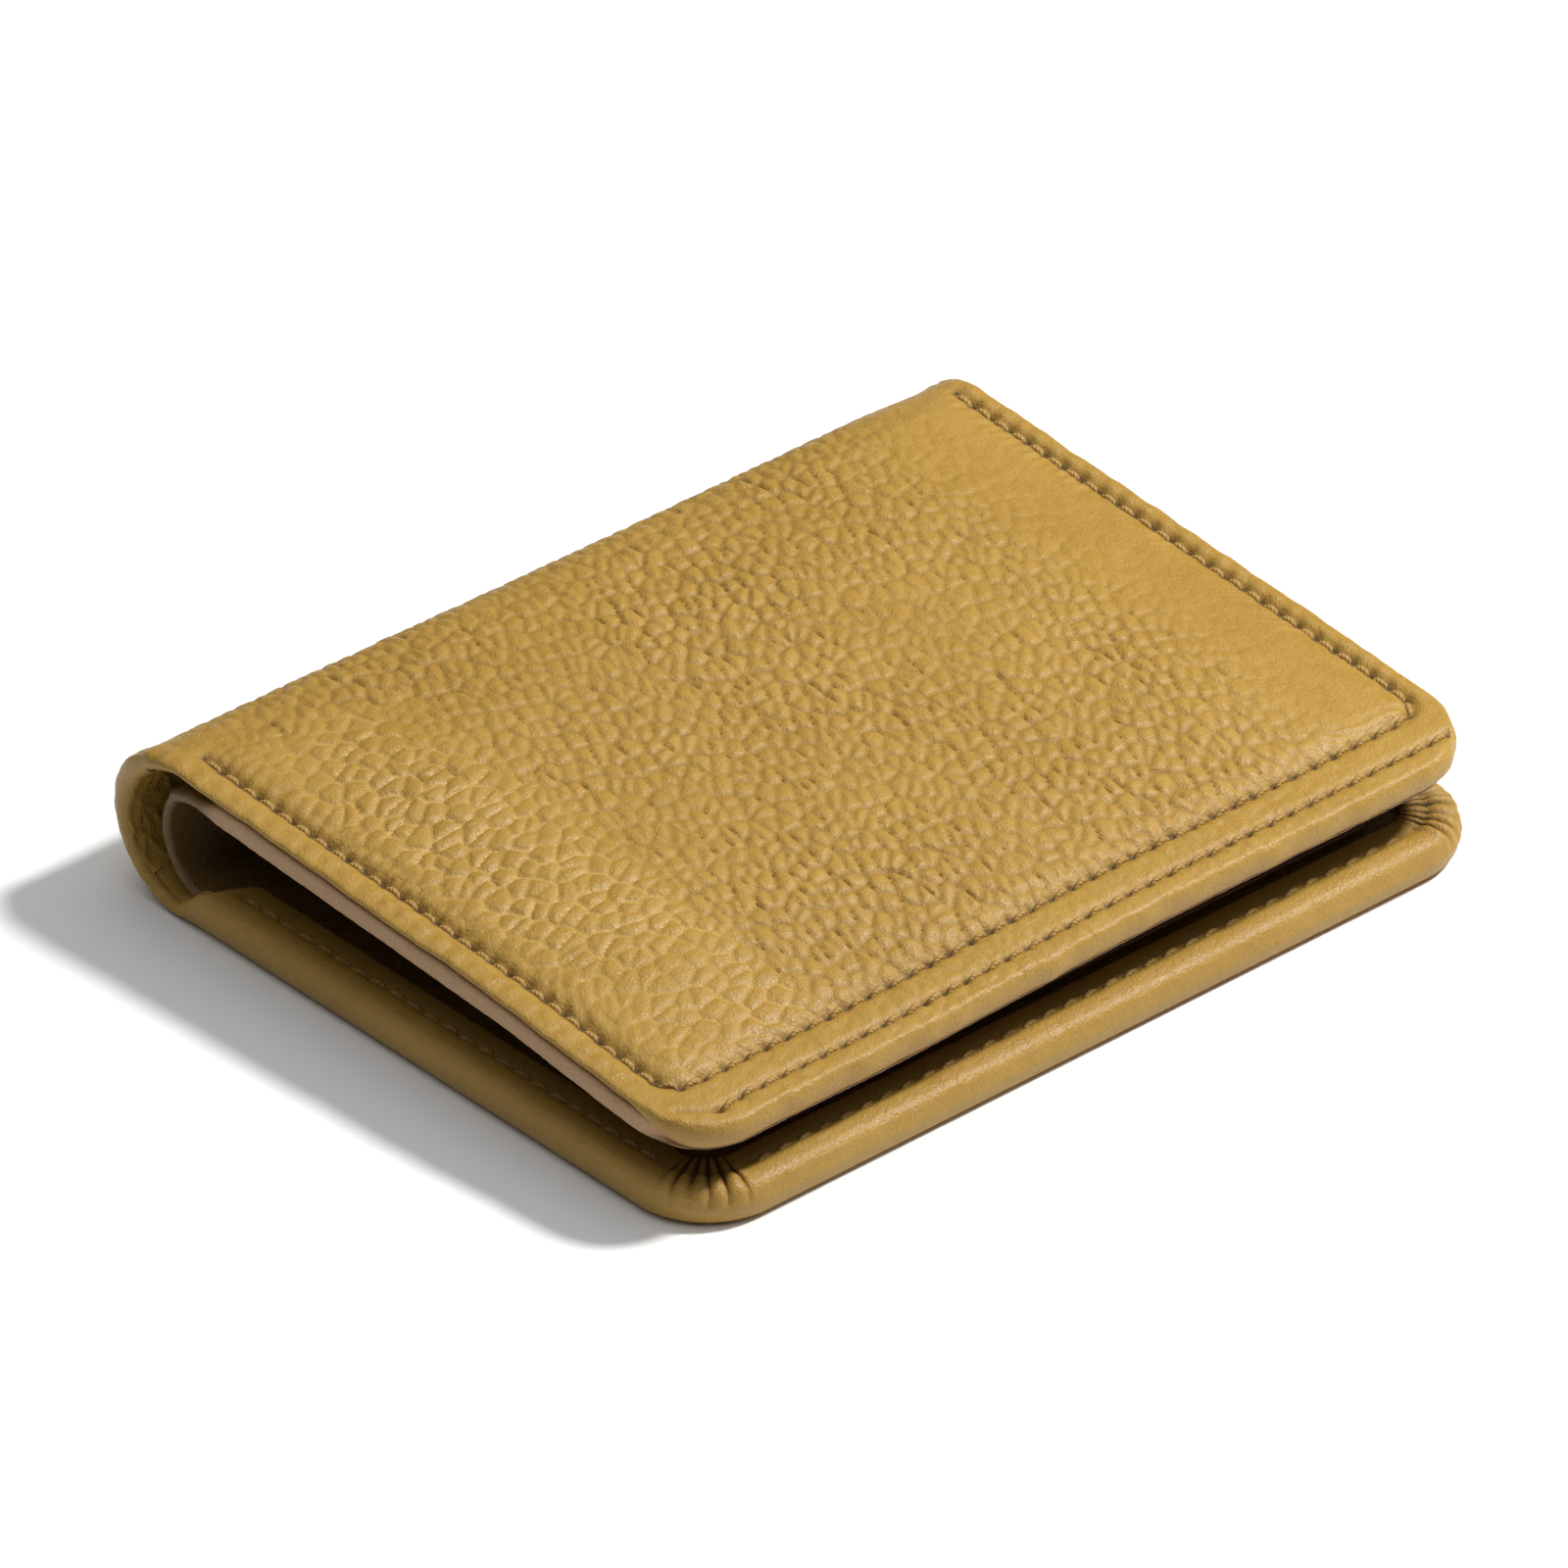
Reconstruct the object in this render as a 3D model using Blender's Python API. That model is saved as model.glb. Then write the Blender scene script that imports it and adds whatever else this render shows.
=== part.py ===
"""Bifold wallet: one leather shell folded round a soft spine, an inner leather panel that follows it,
two card pockets on each cover, turned edges and sewn rows. Metres, +Z up, +X along the spine,
-Y towards the free edge. At rest it lies closed on its bottom cover, gaping a little at the free edge."""

import math

import bmesh
import bpy
from mathutils import Matrix, Vector

MM = 0.001

# Overall sizes
SPINE_LENGTH = 115.0 * MM
DEPTH = 94.0 * MM
SPINE_RADIUS = 9.6 * MM
TOP_COVER_SLOPE = math.radians(3.27)
TOP_COVER_SET_BACK = 1.1 * MM
CORNER_RADIUS = 10.0 * MM

# Leather thicknesses and where each layer lies, counted inwards from a cover's outer face
SHELL_THICKNESS = 1.5 * MM
SHELL_EDGE_ROUND = 0.6 * MM
LAYER_GAP = 0.15 * MM
BOTTOM_PANEL_DEPTH = 2.3 * MM
TOP_PANEL_DEPTH = 1.8 * MM
PANEL_THICKNESS = 1.3 * MM
PANEL_EDGE_ROUND = 0.3 * MM
LINER_TANGENT = 3.3 * MM

# Turned edge of the bottom cover
TURNED_TOP = 5.0 * MM
TURNED_WALL = 1.3 * MM
TURNED_WIDTH = 6.5 * MM
TURNED_START = 2.5 * MM

# Padding under the top cover and stiffener in the bottom one
PUFF_HEIGHT = 1.0 * MM
PUFF_BORDER = 5.0 * MM
PUFF_RUN = 16.0 * MM
PADDING_INSET = 9.0 * MM
STIFFENER_THICKNESS = 0.5 * MM
STIFFENER_INSET = 3.0 * MM

# Card pockets
POCKET_THICKNESS = 0.6 * MM
POCKET_HALF_WIDTH = 47.0 * MM
POCKET_CORNER = 2.0 * MM
POCKET_EDGE_ROUND = 0.2 * MM
POCKET_END = 76.0 * MM
REAR_POCKET_MOUTH = 20.0 * MM
FRONT_POCKET_MOUTH = 33.0 * MM
POCKET_SEAM_INSET = 2.2 * MM

# Sewn rows
STITCH_PITCH = 2.9 * MM
THREAD_RADIUS = 0.25 * MM
THREAD_WAIST = 0.45
THREAD_CLEARANCE = 0.04 * MM
END_ROW_INSET = 4.7 * MM
INNER_ROW_INSET = 10.0 * MM
OUTER_ROW_INSET = 5.2 * MM
TURNED_ROW_INSET = 4.6 * MM
ROW_START = 1.0 * MM

# The fold: four strips of spine leather between five hinge lines that turn together
STRIP_COUNT = 4
TOTAL_TURN = math.pi + TOP_COVER_SLOPE
HINGE_STEP = TOTAL_TURN / (STRIP_COUNT + 1)
HINGE_GAP_OUTSIDE = 0.34 * MM
HINGE_GAP_INSIDE = 0.08 * MM
LINER_HINGE_GAP = 0.12 * MM
ARC_SEGMENTS = 4
CORNER_SEGMENTS = 6

HALF_LENGTH = SPINE_LENGTH / 2
SPINE_CENTRE_Y = DEPTH / 2 - SPINE_RADIUS
SHELL_MIDDLE = SPINE_RADIUS - SHELL_THICKNESS / 2
BOTTOM_REACH = SPINE_CENTRE_Y + DEPTH / 2
TOP_REACH = BOTTOM_REACH - TOP_COVER_SET_BACK


def clear_scene():
    for obj in list(bpy.data.objects):
        bpy.data.objects.remove(obj, do_unlink=True)


def leather(name, colour, roughness):
    """A Principled material: base colour, roughness, no metal."""
    material = bpy.data.materials.new(name)
    material.use_nodes = True
    shader = material.node_tree.nodes["Principled BSDF"]
    shader.inputs["Base Color"].default_value = (*colour, 1.0)
    shader.inputs["Roughness"].default_value = roughness
    shader.inputs["Metallic"].default_value = 0.0
    return material


def smooth(t):
    t = min(max(t, 0.0), 1.0)
    return t * t * (3 - 2 * t)


def puff(x, v):
    """How far the padding lifts the top cover at x and at v from the start of the spine."""
    across = smooth((HALF_LENGTH - abs(x) - PUFF_BORDER) / PUFF_RUN)
    along = smooth(v / PUFF_RUN) * smooth((TOP_REACH - INNER_ROW_INSET - v) / PUFF_RUN)
    return PUFF_HEIGHT * across * along


# ---- Where things go -------------------------------------------------------------------------------------


def bottom_frame():
    """Local x, v, h: v runs from the spine to the free edge, h inwards from the outer face."""
    return Matrix.Translation((0, SPINE_CENTRE_Y, 0)) @ Matrix.Rotation(math.pi, 4, "Z")


def top_frame():
    angle = TOTAL_TURN - math.pi / 2
    start = spine_point(SPINE_RADIUS, angle)
    along = Vector((0, -math.sin(angle), math.cos(angle)))
    inward = Vector((0, -math.cos(angle), -math.sin(angle)))
    rows = Matrix((Vector((1, 0, 0)), along, inward)).transposed()
    return Matrix.Translation(start) @ rows.to_4x4()


def spine_point(radius, angle):
    return Vector((0, SPINE_CENTRE_Y + radius * math.cos(angle), SPINE_RADIUS + radius * math.sin(angle)))


def hinge_angle(number):
    """Angle of hinge line 1 to 5 round the spine, from the bottom cover to the top one."""
    return -math.pi / 2 + (number - 0.5) * HINGE_STEP


def liner_circle():
    """Centre y and z, outer radius, and tangent distance on the top cover, of the inner panel's loop."""
    frame = top_frame()
    start = frame.translation
    along = frame.to_3x3().col[1]
    inward = frame.to_3x3().col[2]
    centre_y = SPINE_CENTRE_Y - LINER_TANGENT
    # start + v*along + (depth + r)*inward = (centre_y, bottom_depth + r)
    a, b = along.y, inward.y
    c, d = along.z, inward.z - 1
    right_y = centre_y - start.y - TOP_PANEL_DEPTH * inward.y
    right_z = BOTTOM_PANEL_DEPTH - start.z - TOP_PANEL_DEPTH * inward.z
    det = a * d - b * c
    tangent = (right_y * d - b * right_z) / det
    radius = (a * right_z - c * right_y) / det
    return centre_y, BOTTOM_PANEL_DEPTH + radius, radius, tangent


# ---- Shapes ----------------------------------------------------------------------------------------------


def rounded_outline(half_width, near, far, near_radius, far_radius):
    """Corners of a flat piece, anticlockwise, from v = near to v = far."""
    corners = (
        (half_width, near, near_radius, -90),
        (half_width, far, far_radius, 0),
        (-half_width, far, far_radius, 90),
        (-half_width, near, near_radius, 180),
    )
    points = []
    for x, v, radius, first in corners:
        if radius == 0:
            points.append((x, v))
            continue
        cx = x - math.copysign(radius, x)
        cv = v + (radius if v == near else -radius)
        for i in range(CORNER_SEGMENTS + 1):
            turn = math.radians(first + 90 * i / CORNER_SEGMENTS)
            points.append((cx + radius * math.cos(turn), cv + radius * math.sin(turn)))
    return points


def curve_object(name, dimensions):
    curve = bpy.data.curves.new(name, "CURVE")
    curve.dimensions = dimensions
    obj = bpy.data.objects.new(name, curve)
    bpy.context.scene.collection.objects.link(obj)
    return obj, curve


def add_spline(curve, points, cyclic):
    spline = curve.splines.new("POLY")
    spline.points.add(len(points) - 1)
    for point, at in zip(spline.points, points):
        point.co = (at[0], at[1], at[2] if len(at) > 2 else 0.0, 1.0)
    spline.use_cyclic_u = cyclic
    return spline


def mesh_of_curve(obj):
    """Turns a curve object into a bmesh, welded, and removes the curve."""
    bpy.context.view_layer.update()
    graph = bpy.context.evaluated_depsgraph_get()
    mesh = bpy.data.meshes.new_from_object(obj.evaluated_get(graph))
    bm = bmesh.new()
    bm.from_mesh(mesh)
    bmesh.ops.remove_doubles(bm, verts=bm.verts, dist=0.001 * MM)
    bmesh.ops.recalc_face_normals(bm, faces=bm.faces)
    bpy.data.meshes.remove(mesh)
    curve = obj.data
    bpy.data.objects.remove(obj, do_unlink=True)
    bpy.data.curves.remove(curve)
    return bm


def flat_solid(name, outline, low, high, edge_round):
    """A flat piece of even thickness between two depths, with its rim rounded."""
    obj, curve = curve_object(name, "2D")
    add_spline(curve, outline, True)
    curve.fill_mode = "BOTH"
    curve.extrude = (high - low) / 2 - edge_round
    curve.bevel_depth = edge_round
    curve.offset = -edge_round
    curve.bevel_resolution = 1
    bm = mesh_of_curve(obj)
    bmesh.ops.translate(bm, verts=bm.verts, vec=(0, 0, (low + high) / 2))
    return bm


def cut_across(bm, point, normal):
    """Adds a line of vertices where a plane meets the piece."""
    bmesh.ops.bisect_plane(
        bm, geom=bm.verts[:] + bm.edges[:] + bm.faces[:], dist=1e-7, plane_co=point, plane_no=normal
    )


def trim_end(bm, point, normal):
    """Cuts away the side that the normal points to, and closes the cut."""
    bmesh.ops.bisect_plane(
        bm,
        geom=bm.verts[:] + bm.edges[:] + bm.faces[:],
        dist=1e-7,
        plane_co=point,
        plane_no=normal,
        clear_outer=True,
    )
    open_edges = [edge for edge in bm.edges if edge.is_boundary]
    bmesh.ops.holes_fill(bm, edges=open_edges)
    bmesh.ops.recalc_face_normals(bm, faces=bm.faces)


def roll_end(bm, tangent, outer_depth, radius, middle):
    """Bends what lies before the tangent line round a circle that touches the layer's outer face."""
    centre = outer_depth + radius
    for vert in bm.verts:
        past = tangent - vert.co.y
        if past > 0:
            turn = past / middle
            reach = centre - vert.co.z
            vert.co.y = tangent - reach * math.sin(turn)
            vert.co.z = centre - reach * math.cos(turn)


def finish_piece(bm, name, material, frame, hinge):
    """Makes the named object, in its cover's frame, carried by the empty on its hinge line."""
    bmesh.ops.triangulate(bm, faces=[face for face in bm.faces if len(face.verts) > 4])
    mesh = bpy.data.meshes.new(name)
    bm.to_mesh(mesh)
    bm.free()
    obj = bpy.data.objects.new(name, mesh)
    WALLET.objects.link(obj)
    mesh.materials.append(material)
    if hinge is not None:
        obj.parent = hinge
        obj.matrix_parent_inverse = hinge.matrix_world.inverted()
    obj.matrix_basis = frame
    return obj


def hinge_empty(number):
    empty = bpy.data.objects.new(f"fold_line_{number}", None)
    empty.empty_display_size = 5 * MM
    empty.matrix_basis = Matrix.Translation(spine_point(SHELL_MIDDLE, hinge_angle(number)))
    WALLET.objects.link(empty)
    return empty


# ---- Leather that crosses the fold -----------------------------------------------------------------------


def rolled_layer(half_width, reach, corner, depth, thickness, edge, tangent, radius, end_gaps):
    """A cover's layer with the first part of the spine's bend at its near end."""
    middle = radius - thickness / 2
    end = tangent - middle * HINGE_STEP / 2
    overrun = 4 * MM
    outline = rounded_outline(half_width, end - overrun, reach, 0, corner)
    bm = flat_solid("layer", outline, depth, depth + thickness, edge)
    outside, inside = end_gaps
    slant = Vector((0, -thickness, inside - outside)).normalized()
    trim_end(bm, Vector((0, end + outside, depth)), slant)
    for i in range(ARC_SEGMENTS):
        past = middle * HINGE_STEP / 2 * i / ARC_SEGMENTS
        cut_across(bm, Vector((0, tangent - past, 0)), Vector((0, 1, 0)))
    return bm, lambda: roll_end(bm, tangent, depth, radius, middle)


def bottom_shell(material):
    bm, roll = rolled_layer(
        HALF_LENGTH, BOTTOM_REACH, CORNER_RADIUS, 0, SHELL_THICKNESS, SHELL_EDGE_ROUND, 0, SPINE_RADIUS,
        (HINGE_GAP_OUTSIDE, HINGE_GAP_INSIDE),
    )
    roll()
    finish_piece(bm, "bottom_shell", material, bottom_frame(), None)


def top_shell(material, hinge):
    bm, roll = rolled_layer(
        HALF_LENGTH, TOP_REACH, CORNER_RADIUS, 0, SHELL_THICKNESS, SHELL_EDGE_ROUND, 0, SPINE_RADIUS,
        (HINGE_GAP_OUTSIDE, HINGE_GAP_INSIDE),
    )
    cut_puff_grid(bm)
    for vert in bm.verts:
        vert.co.z -= puff(vert.co.x, vert.co.y)
    roll()
    finish_piece(bm, "top_shell", material, top_frame(), hinge)


def cut_puff_grid(bm):
    """Lines across the top cover where its surface swells, closest together near the border."""
    steps = (0.0, 0.25, 0.5, 0.75, 1.0)
    for side in (-1, 1):
        for step in steps:
            x = side * (HALF_LENGTH - PUFF_BORDER - PUFF_RUN * step)
            cut_across(bm, Vector((x, 0, 0)), Vector((1, 0, 0)))
    for step in steps:
        for v in (PUFF_RUN * step, TOP_REACH - INNER_ROW_INSET - PUFF_RUN * step):
            cut_across(bm, Vector((0, v, 0)), Vector((0, 1, 0)))


def inner_panels(material, hinge):
    """The inner leather on each cover, with the start of its own smaller loop."""
    _, _, radius, top_tangent = liner_circle()
    gaps = (LINER_HINGE_GAP, LINER_HINGE_GAP)
    inset = TURNED_WALL + LAYER_GAP
    bm, roll = rolled_layer(
        HALF_LENGTH - inset, BOTTOM_REACH - inset, CORNER_RADIUS - inset, BOTTOM_PANEL_DEPTH,
        PANEL_THICKNESS, PANEL_EDGE_ROUND, LINER_TANGENT, radius, gaps,
    )
    roll()
    finish_piece(bm, "bottom_inner_panel", material, bottom_frame(), None)
    bm, roll = rolled_layer(
        HALF_LENGTH - LAYER_GAP, TOP_REACH - LAYER_GAP, CORNER_RADIUS, TOP_PANEL_DEPTH,
        PANEL_THICKNESS, PANEL_EDGE_ROUND, top_tangent, radius, gaps,
    )
    roll()
    finish_piece(bm, "top_inner_panel", material, top_frame(), hinge)


def spine_strip(name, material, centre, radius, thickness, number, gaps, half_width, hinge):
    """One strip of leather between hinge lines number and number + 1, as an arc drawn out along the spine."""
    outside, inside = gaps
    first, last = hinge_angle(number), hinge_angle(number + 1)
    inner_radius = radius - thickness
    points = []
    for r, gap, forward in ((radius, outside, True), (inner_radius, inside, False)):
        start, stop = first + gap / r, last - gap / r
        if not forward:
            start, stop = stop, start
        for i in range(ARC_SEGMENTS + 1):
            turn = start + (stop - start) * i / ARC_SEGMENTS
            points.append((centre[0] + r * math.cos(turn), centre[1] + r * math.sin(turn)))
    obj, curve = curve_object(name, "2D")
    add_spline(curve, points, True)
    curve.fill_mode = "BOTH"
    curve.extrude = half_width
    bm = mesh_of_curve(obj)
    along_x = Matrix(((0, 0, 1), (1, 0, 0), (0, 1, 0))).to_4x4()
    finish_piece(bm, name, material, along_x, hinge)


def spine_strips(shell_material, panel_material, hinges):
    centre_y, centre_z, radius, _ = liner_circle()
    liner_half = HALF_LENGTH - TURNED_WALL - LAYER_GAP
    for number in range(1, STRIP_COUNT + 1):
        hinge = hinges[number - 1]
        spine_strip(
            f"spine_shell_{number}", shell_material, (SPINE_CENTRE_Y, SPINE_RADIUS), SPINE_RADIUS,
            SHELL_THICKNESS, number, (HINGE_GAP_OUTSIDE, HINGE_GAP_INSIDE), HALF_LENGTH, hinge,
        )
        spine_strip(
            f"spine_liner_{number}", panel_material, (centre_y, centre_z), radius,
            PANEL_THICKNESS, number, (LINER_HINGE_GAP, LINER_HINGE_GAP), liner_half, hinge,
        )


# ---- Pieces inside the covers ----------------------------------------------------------------------------


def open_path(half_width, start, end, radius):
    """Down one side, round the corner, along the free edge and back up: x, v points."""
    points = [(half_width, start)]
    for sign, first in ((1, 0), (-1, 90)):
        cx = sign * (half_width - radius)
        for i in range(CORNER_SEGMENTS + 1):
            turn = math.radians(first + 90 * i / CORNER_SEGMENTS)
            points.append((cx + radius * math.cos(turn), end - radius + radius * math.sin(turn)))
    points.append((-half_width, start))
    return points


def inset_path(inset, start):
    """The bottom cover's three free sides, moved in by an inset."""
    return open_path(HALF_LENGTH - inset, start, BOTTOM_REACH - inset, CORNER_RADIUS - inset)


def turned_edge(material):
    """Shell leather turned up and over the inner panel's rim on the three free sides, as a swept angle."""
    wall_foot = SHELL_THICKNESS + LAYER_GAP
    hem_under = TURNED_TOP - TURNED_WALL
    round_off = 0.5 * MM
    section = (
        (0, wall_foot), (0, TURNED_TOP - 2 * round_off), (0.3 * round_off, TURNED_TOP - round_off),
        (2 * round_off, TURNED_TOP), (TURNED_WIDTH - round_off, TURNED_TOP),
        (TURNED_WIDTH, TURNED_TOP - round_off), (TURNED_WIDTH, hem_under),
        (TURNED_WALL, hem_under), (TURNED_WALL, wall_foot),
    )
    rings = [inset_path(inset, TURNED_START) for inset, _ in section]
    bm = bmesh.new()
    loops = []
    for ring, (_, height) in zip(rings, section):
        loops.append([bm.verts.new((x, v, height)) for x, v in ring])
    for i, loop in enumerate(loops):
        following = loops[(i + 1) % len(loops)]
        for j in range(len(loop) - 1):
            bm.faces.new((loop[j], loop[j + 1], following[j + 1], following[j]))
    for end in (0, -1):
        bm.faces.new([loop[end] for loop in loops])
    bmesh.ops.recalc_face_normals(bm, faces=bm.faces)
    finish_piece(bm, "bottom_turned_edge", material, bottom_frame(), None)


def stiffener(material):
    outline = rounded_outline(
        HALF_LENGTH - STIFFENER_INSET, LINER_TANGENT, BOTTOM_REACH - STIFFENER_INSET, 0,
        CORNER_RADIUS - STIFFENER_INSET,
    )
    low = SHELL_THICKNESS + LAYER_GAP
    bm = flat_solid("board", outline, low, low + STIFFENER_THICKNESS, 0)
    finish_piece(bm, "bottom_stiffener", material, bottom_frame(), None)


def padding(material, hinge):
    """Thin foam between the top shell and its inner panel, thickest in the middle."""
    outline = rounded_outline(
        HALF_LENGTH - PADDING_INSET, PADDING_INSET, TOP_REACH - PADDING_INSET - PUFF_BORDER, POCKET_CORNER,
        POCKET_CORNER,
    )
    low = SHELL_THICKNESS + LAYER_GAP / 3
    high = TOP_PANEL_DEPTH - LAYER_GAP / 2
    bm = flat_solid("foam", outline, low, high, 0)
    cut_puff_grid(bm)
    middle = (low + high) / 2
    for vert in bm.verts:
        if vert.co.z < middle:
            vert.co.z -= 0.88 * puff(vert.co.x, vert.co.y)
    finish_piece(bm, "top_padding", material, top_frame(), hinge)


def card_pocket(name, material, frame, hinge, mouth, depth):
    outline = rounded_outline(POCKET_HALF_WIDTH, mouth, POCKET_END, POCKET_CORNER, POCKET_CORNER)
    bm = flat_solid(name, outline, depth, depth + POCKET_THICKNESS, POCKET_EDGE_ROUND)
    finish_piece(bm, name, material, frame, hinge)


def pocket_depths(panel_depth):
    """Depth of the rear and of the front pocket on a cover."""
    rear = panel_depth + PANEL_THICKNESS + LAYER_GAP
    return rear, rear + POCKET_THICKNESS + LAYER_GAP


# ---- Sewn rows -------------------------------------------------------------------------------------------


def evenly(points, pitch):
    """Points along a path at half a stitch apart, so that each stitch has two ends and a middle."""
    lengths = [0.0]
    for a, b in zip(points, points[1:]):
        lengths.append(lengths[-1] + math.dist(a, b))
    count = 2 * round(lengths[-1] / pitch)
    found = []
    segment = 0
    for i in range(count + 1):
        at = lengths[-1] * i / count
        while segment < len(points) - 2 and lengths[segment + 1] < at:
            segment += 1
        share = (at - lengths[segment]) / (lengths[segment + 1] - lengths[segment])
        found.append(tuple(p + (q - p) * share for p, q in zip(points[segment], points[segment + 1])))
    return found


def stitch_row(name, material, path, depth_at, outward, frame, hinge):
    """A thread along a path: full at the middle of each stitch, thin where it dips between two."""
    lift = outward * (THREAD_RADIUS + THREAD_CLEARANCE)
    points = [(x, v, depth_at(x, v) + lift) for x, v in evenly(path, STITCH_PITCH)]
    obj, curve = curve_object(name, "3D")
    spline = add_spline(curve, points, False)
    for i, point in enumerate(spline.points):
        point.radius = 1.0 if i % 2 else THREAD_WAIST
    curve.bevel_depth = THREAD_RADIUS
    curve.bevel_resolution = 0
    curve.use_fill_caps = True
    finish_piece(mesh_of_curve(obj), name, material, frame, hinge)


def outer_rows(material, hinge):
    """On the top cover: one row round three sides, set further in along the free edge, and one outside it."""
    frame = top_frame()
    border = open_path(
        HALF_LENGTH - END_ROW_INSET, ROW_START, TOP_REACH - INNER_ROW_INSET, CORNER_RADIUS - END_ROW_INSET / 2
    )
    stitch_row("top_border_stitching", material, border, lambda x, v: -puff(x, v), -1, frame, hinge)
    edge = TOP_REACH - OUTER_ROW_INSET
    half = HALF_LENGTH - END_ROW_INSET - OUTER_ROW_INSET / 2
    stitch_row(
        "top_free_edge_stitching", material, [(half, edge), (-half, edge)], lambda x, v: 0.0, -1, frame, hinge
    )


def turned_edge_row(material):
    path = inset_path(TURNED_ROW_INSET, TURNED_START + ROW_START)
    stitch_row(
        "bottom_edge_stitching", material, path, lambda x, v: TURNED_TOP, 1, bottom_frame(), None
    )


def pocket_row(name, material, panel_depth, frame, hinge):
    """Holds both pockets at their sides and foot, so it steps up where the front pocket begins."""
    rear, front = pocket_depths(panel_depth)
    half = POCKET_HALF_WIDTH - POCKET_SEAM_INSET
    path = open_path(half, REAR_POCKET_MOUTH + ROW_START, POCKET_END - POCKET_SEAM_INSET, POCKET_CORNER)

    def surface(x, v):
        step = front if v > FRONT_POCKET_MOUTH - STITCH_PITCH / 2 else rear
        return step + POCKET_THICKNESS

    stitch_row(name, material, path, surface, 1, frame, hinge)


# ---- The wallet ------------------------------------------------------------------------------------------


def build():
    shell = leather("mustard_leather", (0.47, 0.27, 0.075), 0.5)
    panel = leather("inner_leather", (0.40, 0.23, 0.085), 0.55)
    thread = leather("mustard_thread", (0.55, 0.34, 0.12), 0.6)
    board = leather("stiffener_board", (0.45, 0.38, 0.30), 0.85)
    foam = leather("padding_foam", (0.78, 0.74, 0.64), 0.9)
    hinges = [hinge_empty(number) for number in range(1, STRIP_COUNT + 2)]
    bpy.context.view_layer.update()
    cover = hinges[-1]
    bottom_shell(shell)
    turned_edge(shell)
    stiffener(board)
    spine_strips(shell, panel, hinges)
    top_shell(shell, cover)
    padding(foam, cover)
    inner_panels(panel, cover)
    sides = (
        ("bottom", BOTTOM_PANEL_DEPTH, bottom_frame(), None),
        ("top", TOP_PANEL_DEPTH, top_frame(), cover),
    )
    for side, depth, frame, hinge in sides:
        rear, front = pocket_depths(depth)
        card_pocket(f"{side}_rear_card_pocket", panel, frame, hinge, REAR_POCKET_MOUTH, rear)
        card_pocket(f"{side}_front_card_pocket", panel, frame, hinge, FRONT_POCKET_MOUTH, front)
        pocket_row(f"{side}_pocket_stitching", thread, depth, frame, hinge)
    turned_edge_row(thread)
    outer_rows(thread, cover)


clear_scene()
WALLET = bpy.data.collections.new("bifold_wallet")
bpy.context.scene.collection.children.link(WALLET)
build()
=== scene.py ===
import math

import bmesh
import bpy
import numpy as np
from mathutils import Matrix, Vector


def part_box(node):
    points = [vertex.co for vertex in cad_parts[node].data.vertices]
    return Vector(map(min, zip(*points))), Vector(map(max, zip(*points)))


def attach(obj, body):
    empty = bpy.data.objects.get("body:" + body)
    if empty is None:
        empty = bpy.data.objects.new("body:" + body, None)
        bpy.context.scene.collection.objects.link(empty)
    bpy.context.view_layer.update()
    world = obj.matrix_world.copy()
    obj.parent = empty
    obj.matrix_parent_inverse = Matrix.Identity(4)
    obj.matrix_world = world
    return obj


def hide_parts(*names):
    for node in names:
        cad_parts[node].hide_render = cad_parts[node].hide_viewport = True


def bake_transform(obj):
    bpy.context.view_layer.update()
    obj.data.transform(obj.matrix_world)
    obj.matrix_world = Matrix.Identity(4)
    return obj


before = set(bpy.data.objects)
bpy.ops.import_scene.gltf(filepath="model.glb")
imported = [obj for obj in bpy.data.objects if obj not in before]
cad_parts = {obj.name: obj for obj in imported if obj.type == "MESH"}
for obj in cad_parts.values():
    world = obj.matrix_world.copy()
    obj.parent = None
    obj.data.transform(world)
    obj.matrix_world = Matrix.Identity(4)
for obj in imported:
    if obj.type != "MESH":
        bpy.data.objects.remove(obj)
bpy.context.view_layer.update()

# ---- Sizes, in millimetres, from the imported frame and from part.py

MM = 0.001


def box_mm(node):
    """A CAD node's box, in millimetres."""
    low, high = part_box(node)
    return np.array(low) / MM, np.array(high) / MM


SHELL_LOW, SHELL_HIGH = box_mm("bottom_shell")
HALF = SHELL_HIGH[0]  # half the wallet's length along its spine
SPINE_RADIUS = 9.6  # the closed spine's outer face
CENTRE_Y = box_mm("spine_shell_2")[1][1] - SPINE_RADIUS
BOTTOM_REACH = CENTRE_Y - SHELL_LOW[1]  # from the spine's bend to a cover's free edge
TOP_REACH = BOTTOM_REACH - 1.1
TURN = math.pi + math.radians(3.27)  # how far the leather turns round the closed spine
STRIPS = 5  # the spine's bend is cut into this many equal lengths, one hinge line apart
CORNER = 10.0

# Leather thicknesses
SHELL = 1.5
PANEL = 1.3
POCKET = 0.6

# The inner leather's depth below the shell's outer face, and how far before the shell its own bend starts
PANEL_DEPTH_BOTTOM = 2.3
PANEL_DEPTH_TOP = 1.8
LINER_TANGENT = 3.3

# The bottom cover's turned edge
HEM_TOP = 4.75
HEM_UNDER = 3.75
HEM_WIDTH = 6.5

# The card pockets, measured from the spine's bend as v is
POCKET_HALF = 47.0
POCKET_END = 76.0
POCKET_MOUTHS = {"rear": 20.0, "front": 33.0}
POCKET_CORNER = 2.0
POCKET_GAP = 0.15
GRAIN_AT = {"rear": 300, "front": 400}  # far apart in the grain, so that no two pockets look the same

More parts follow.
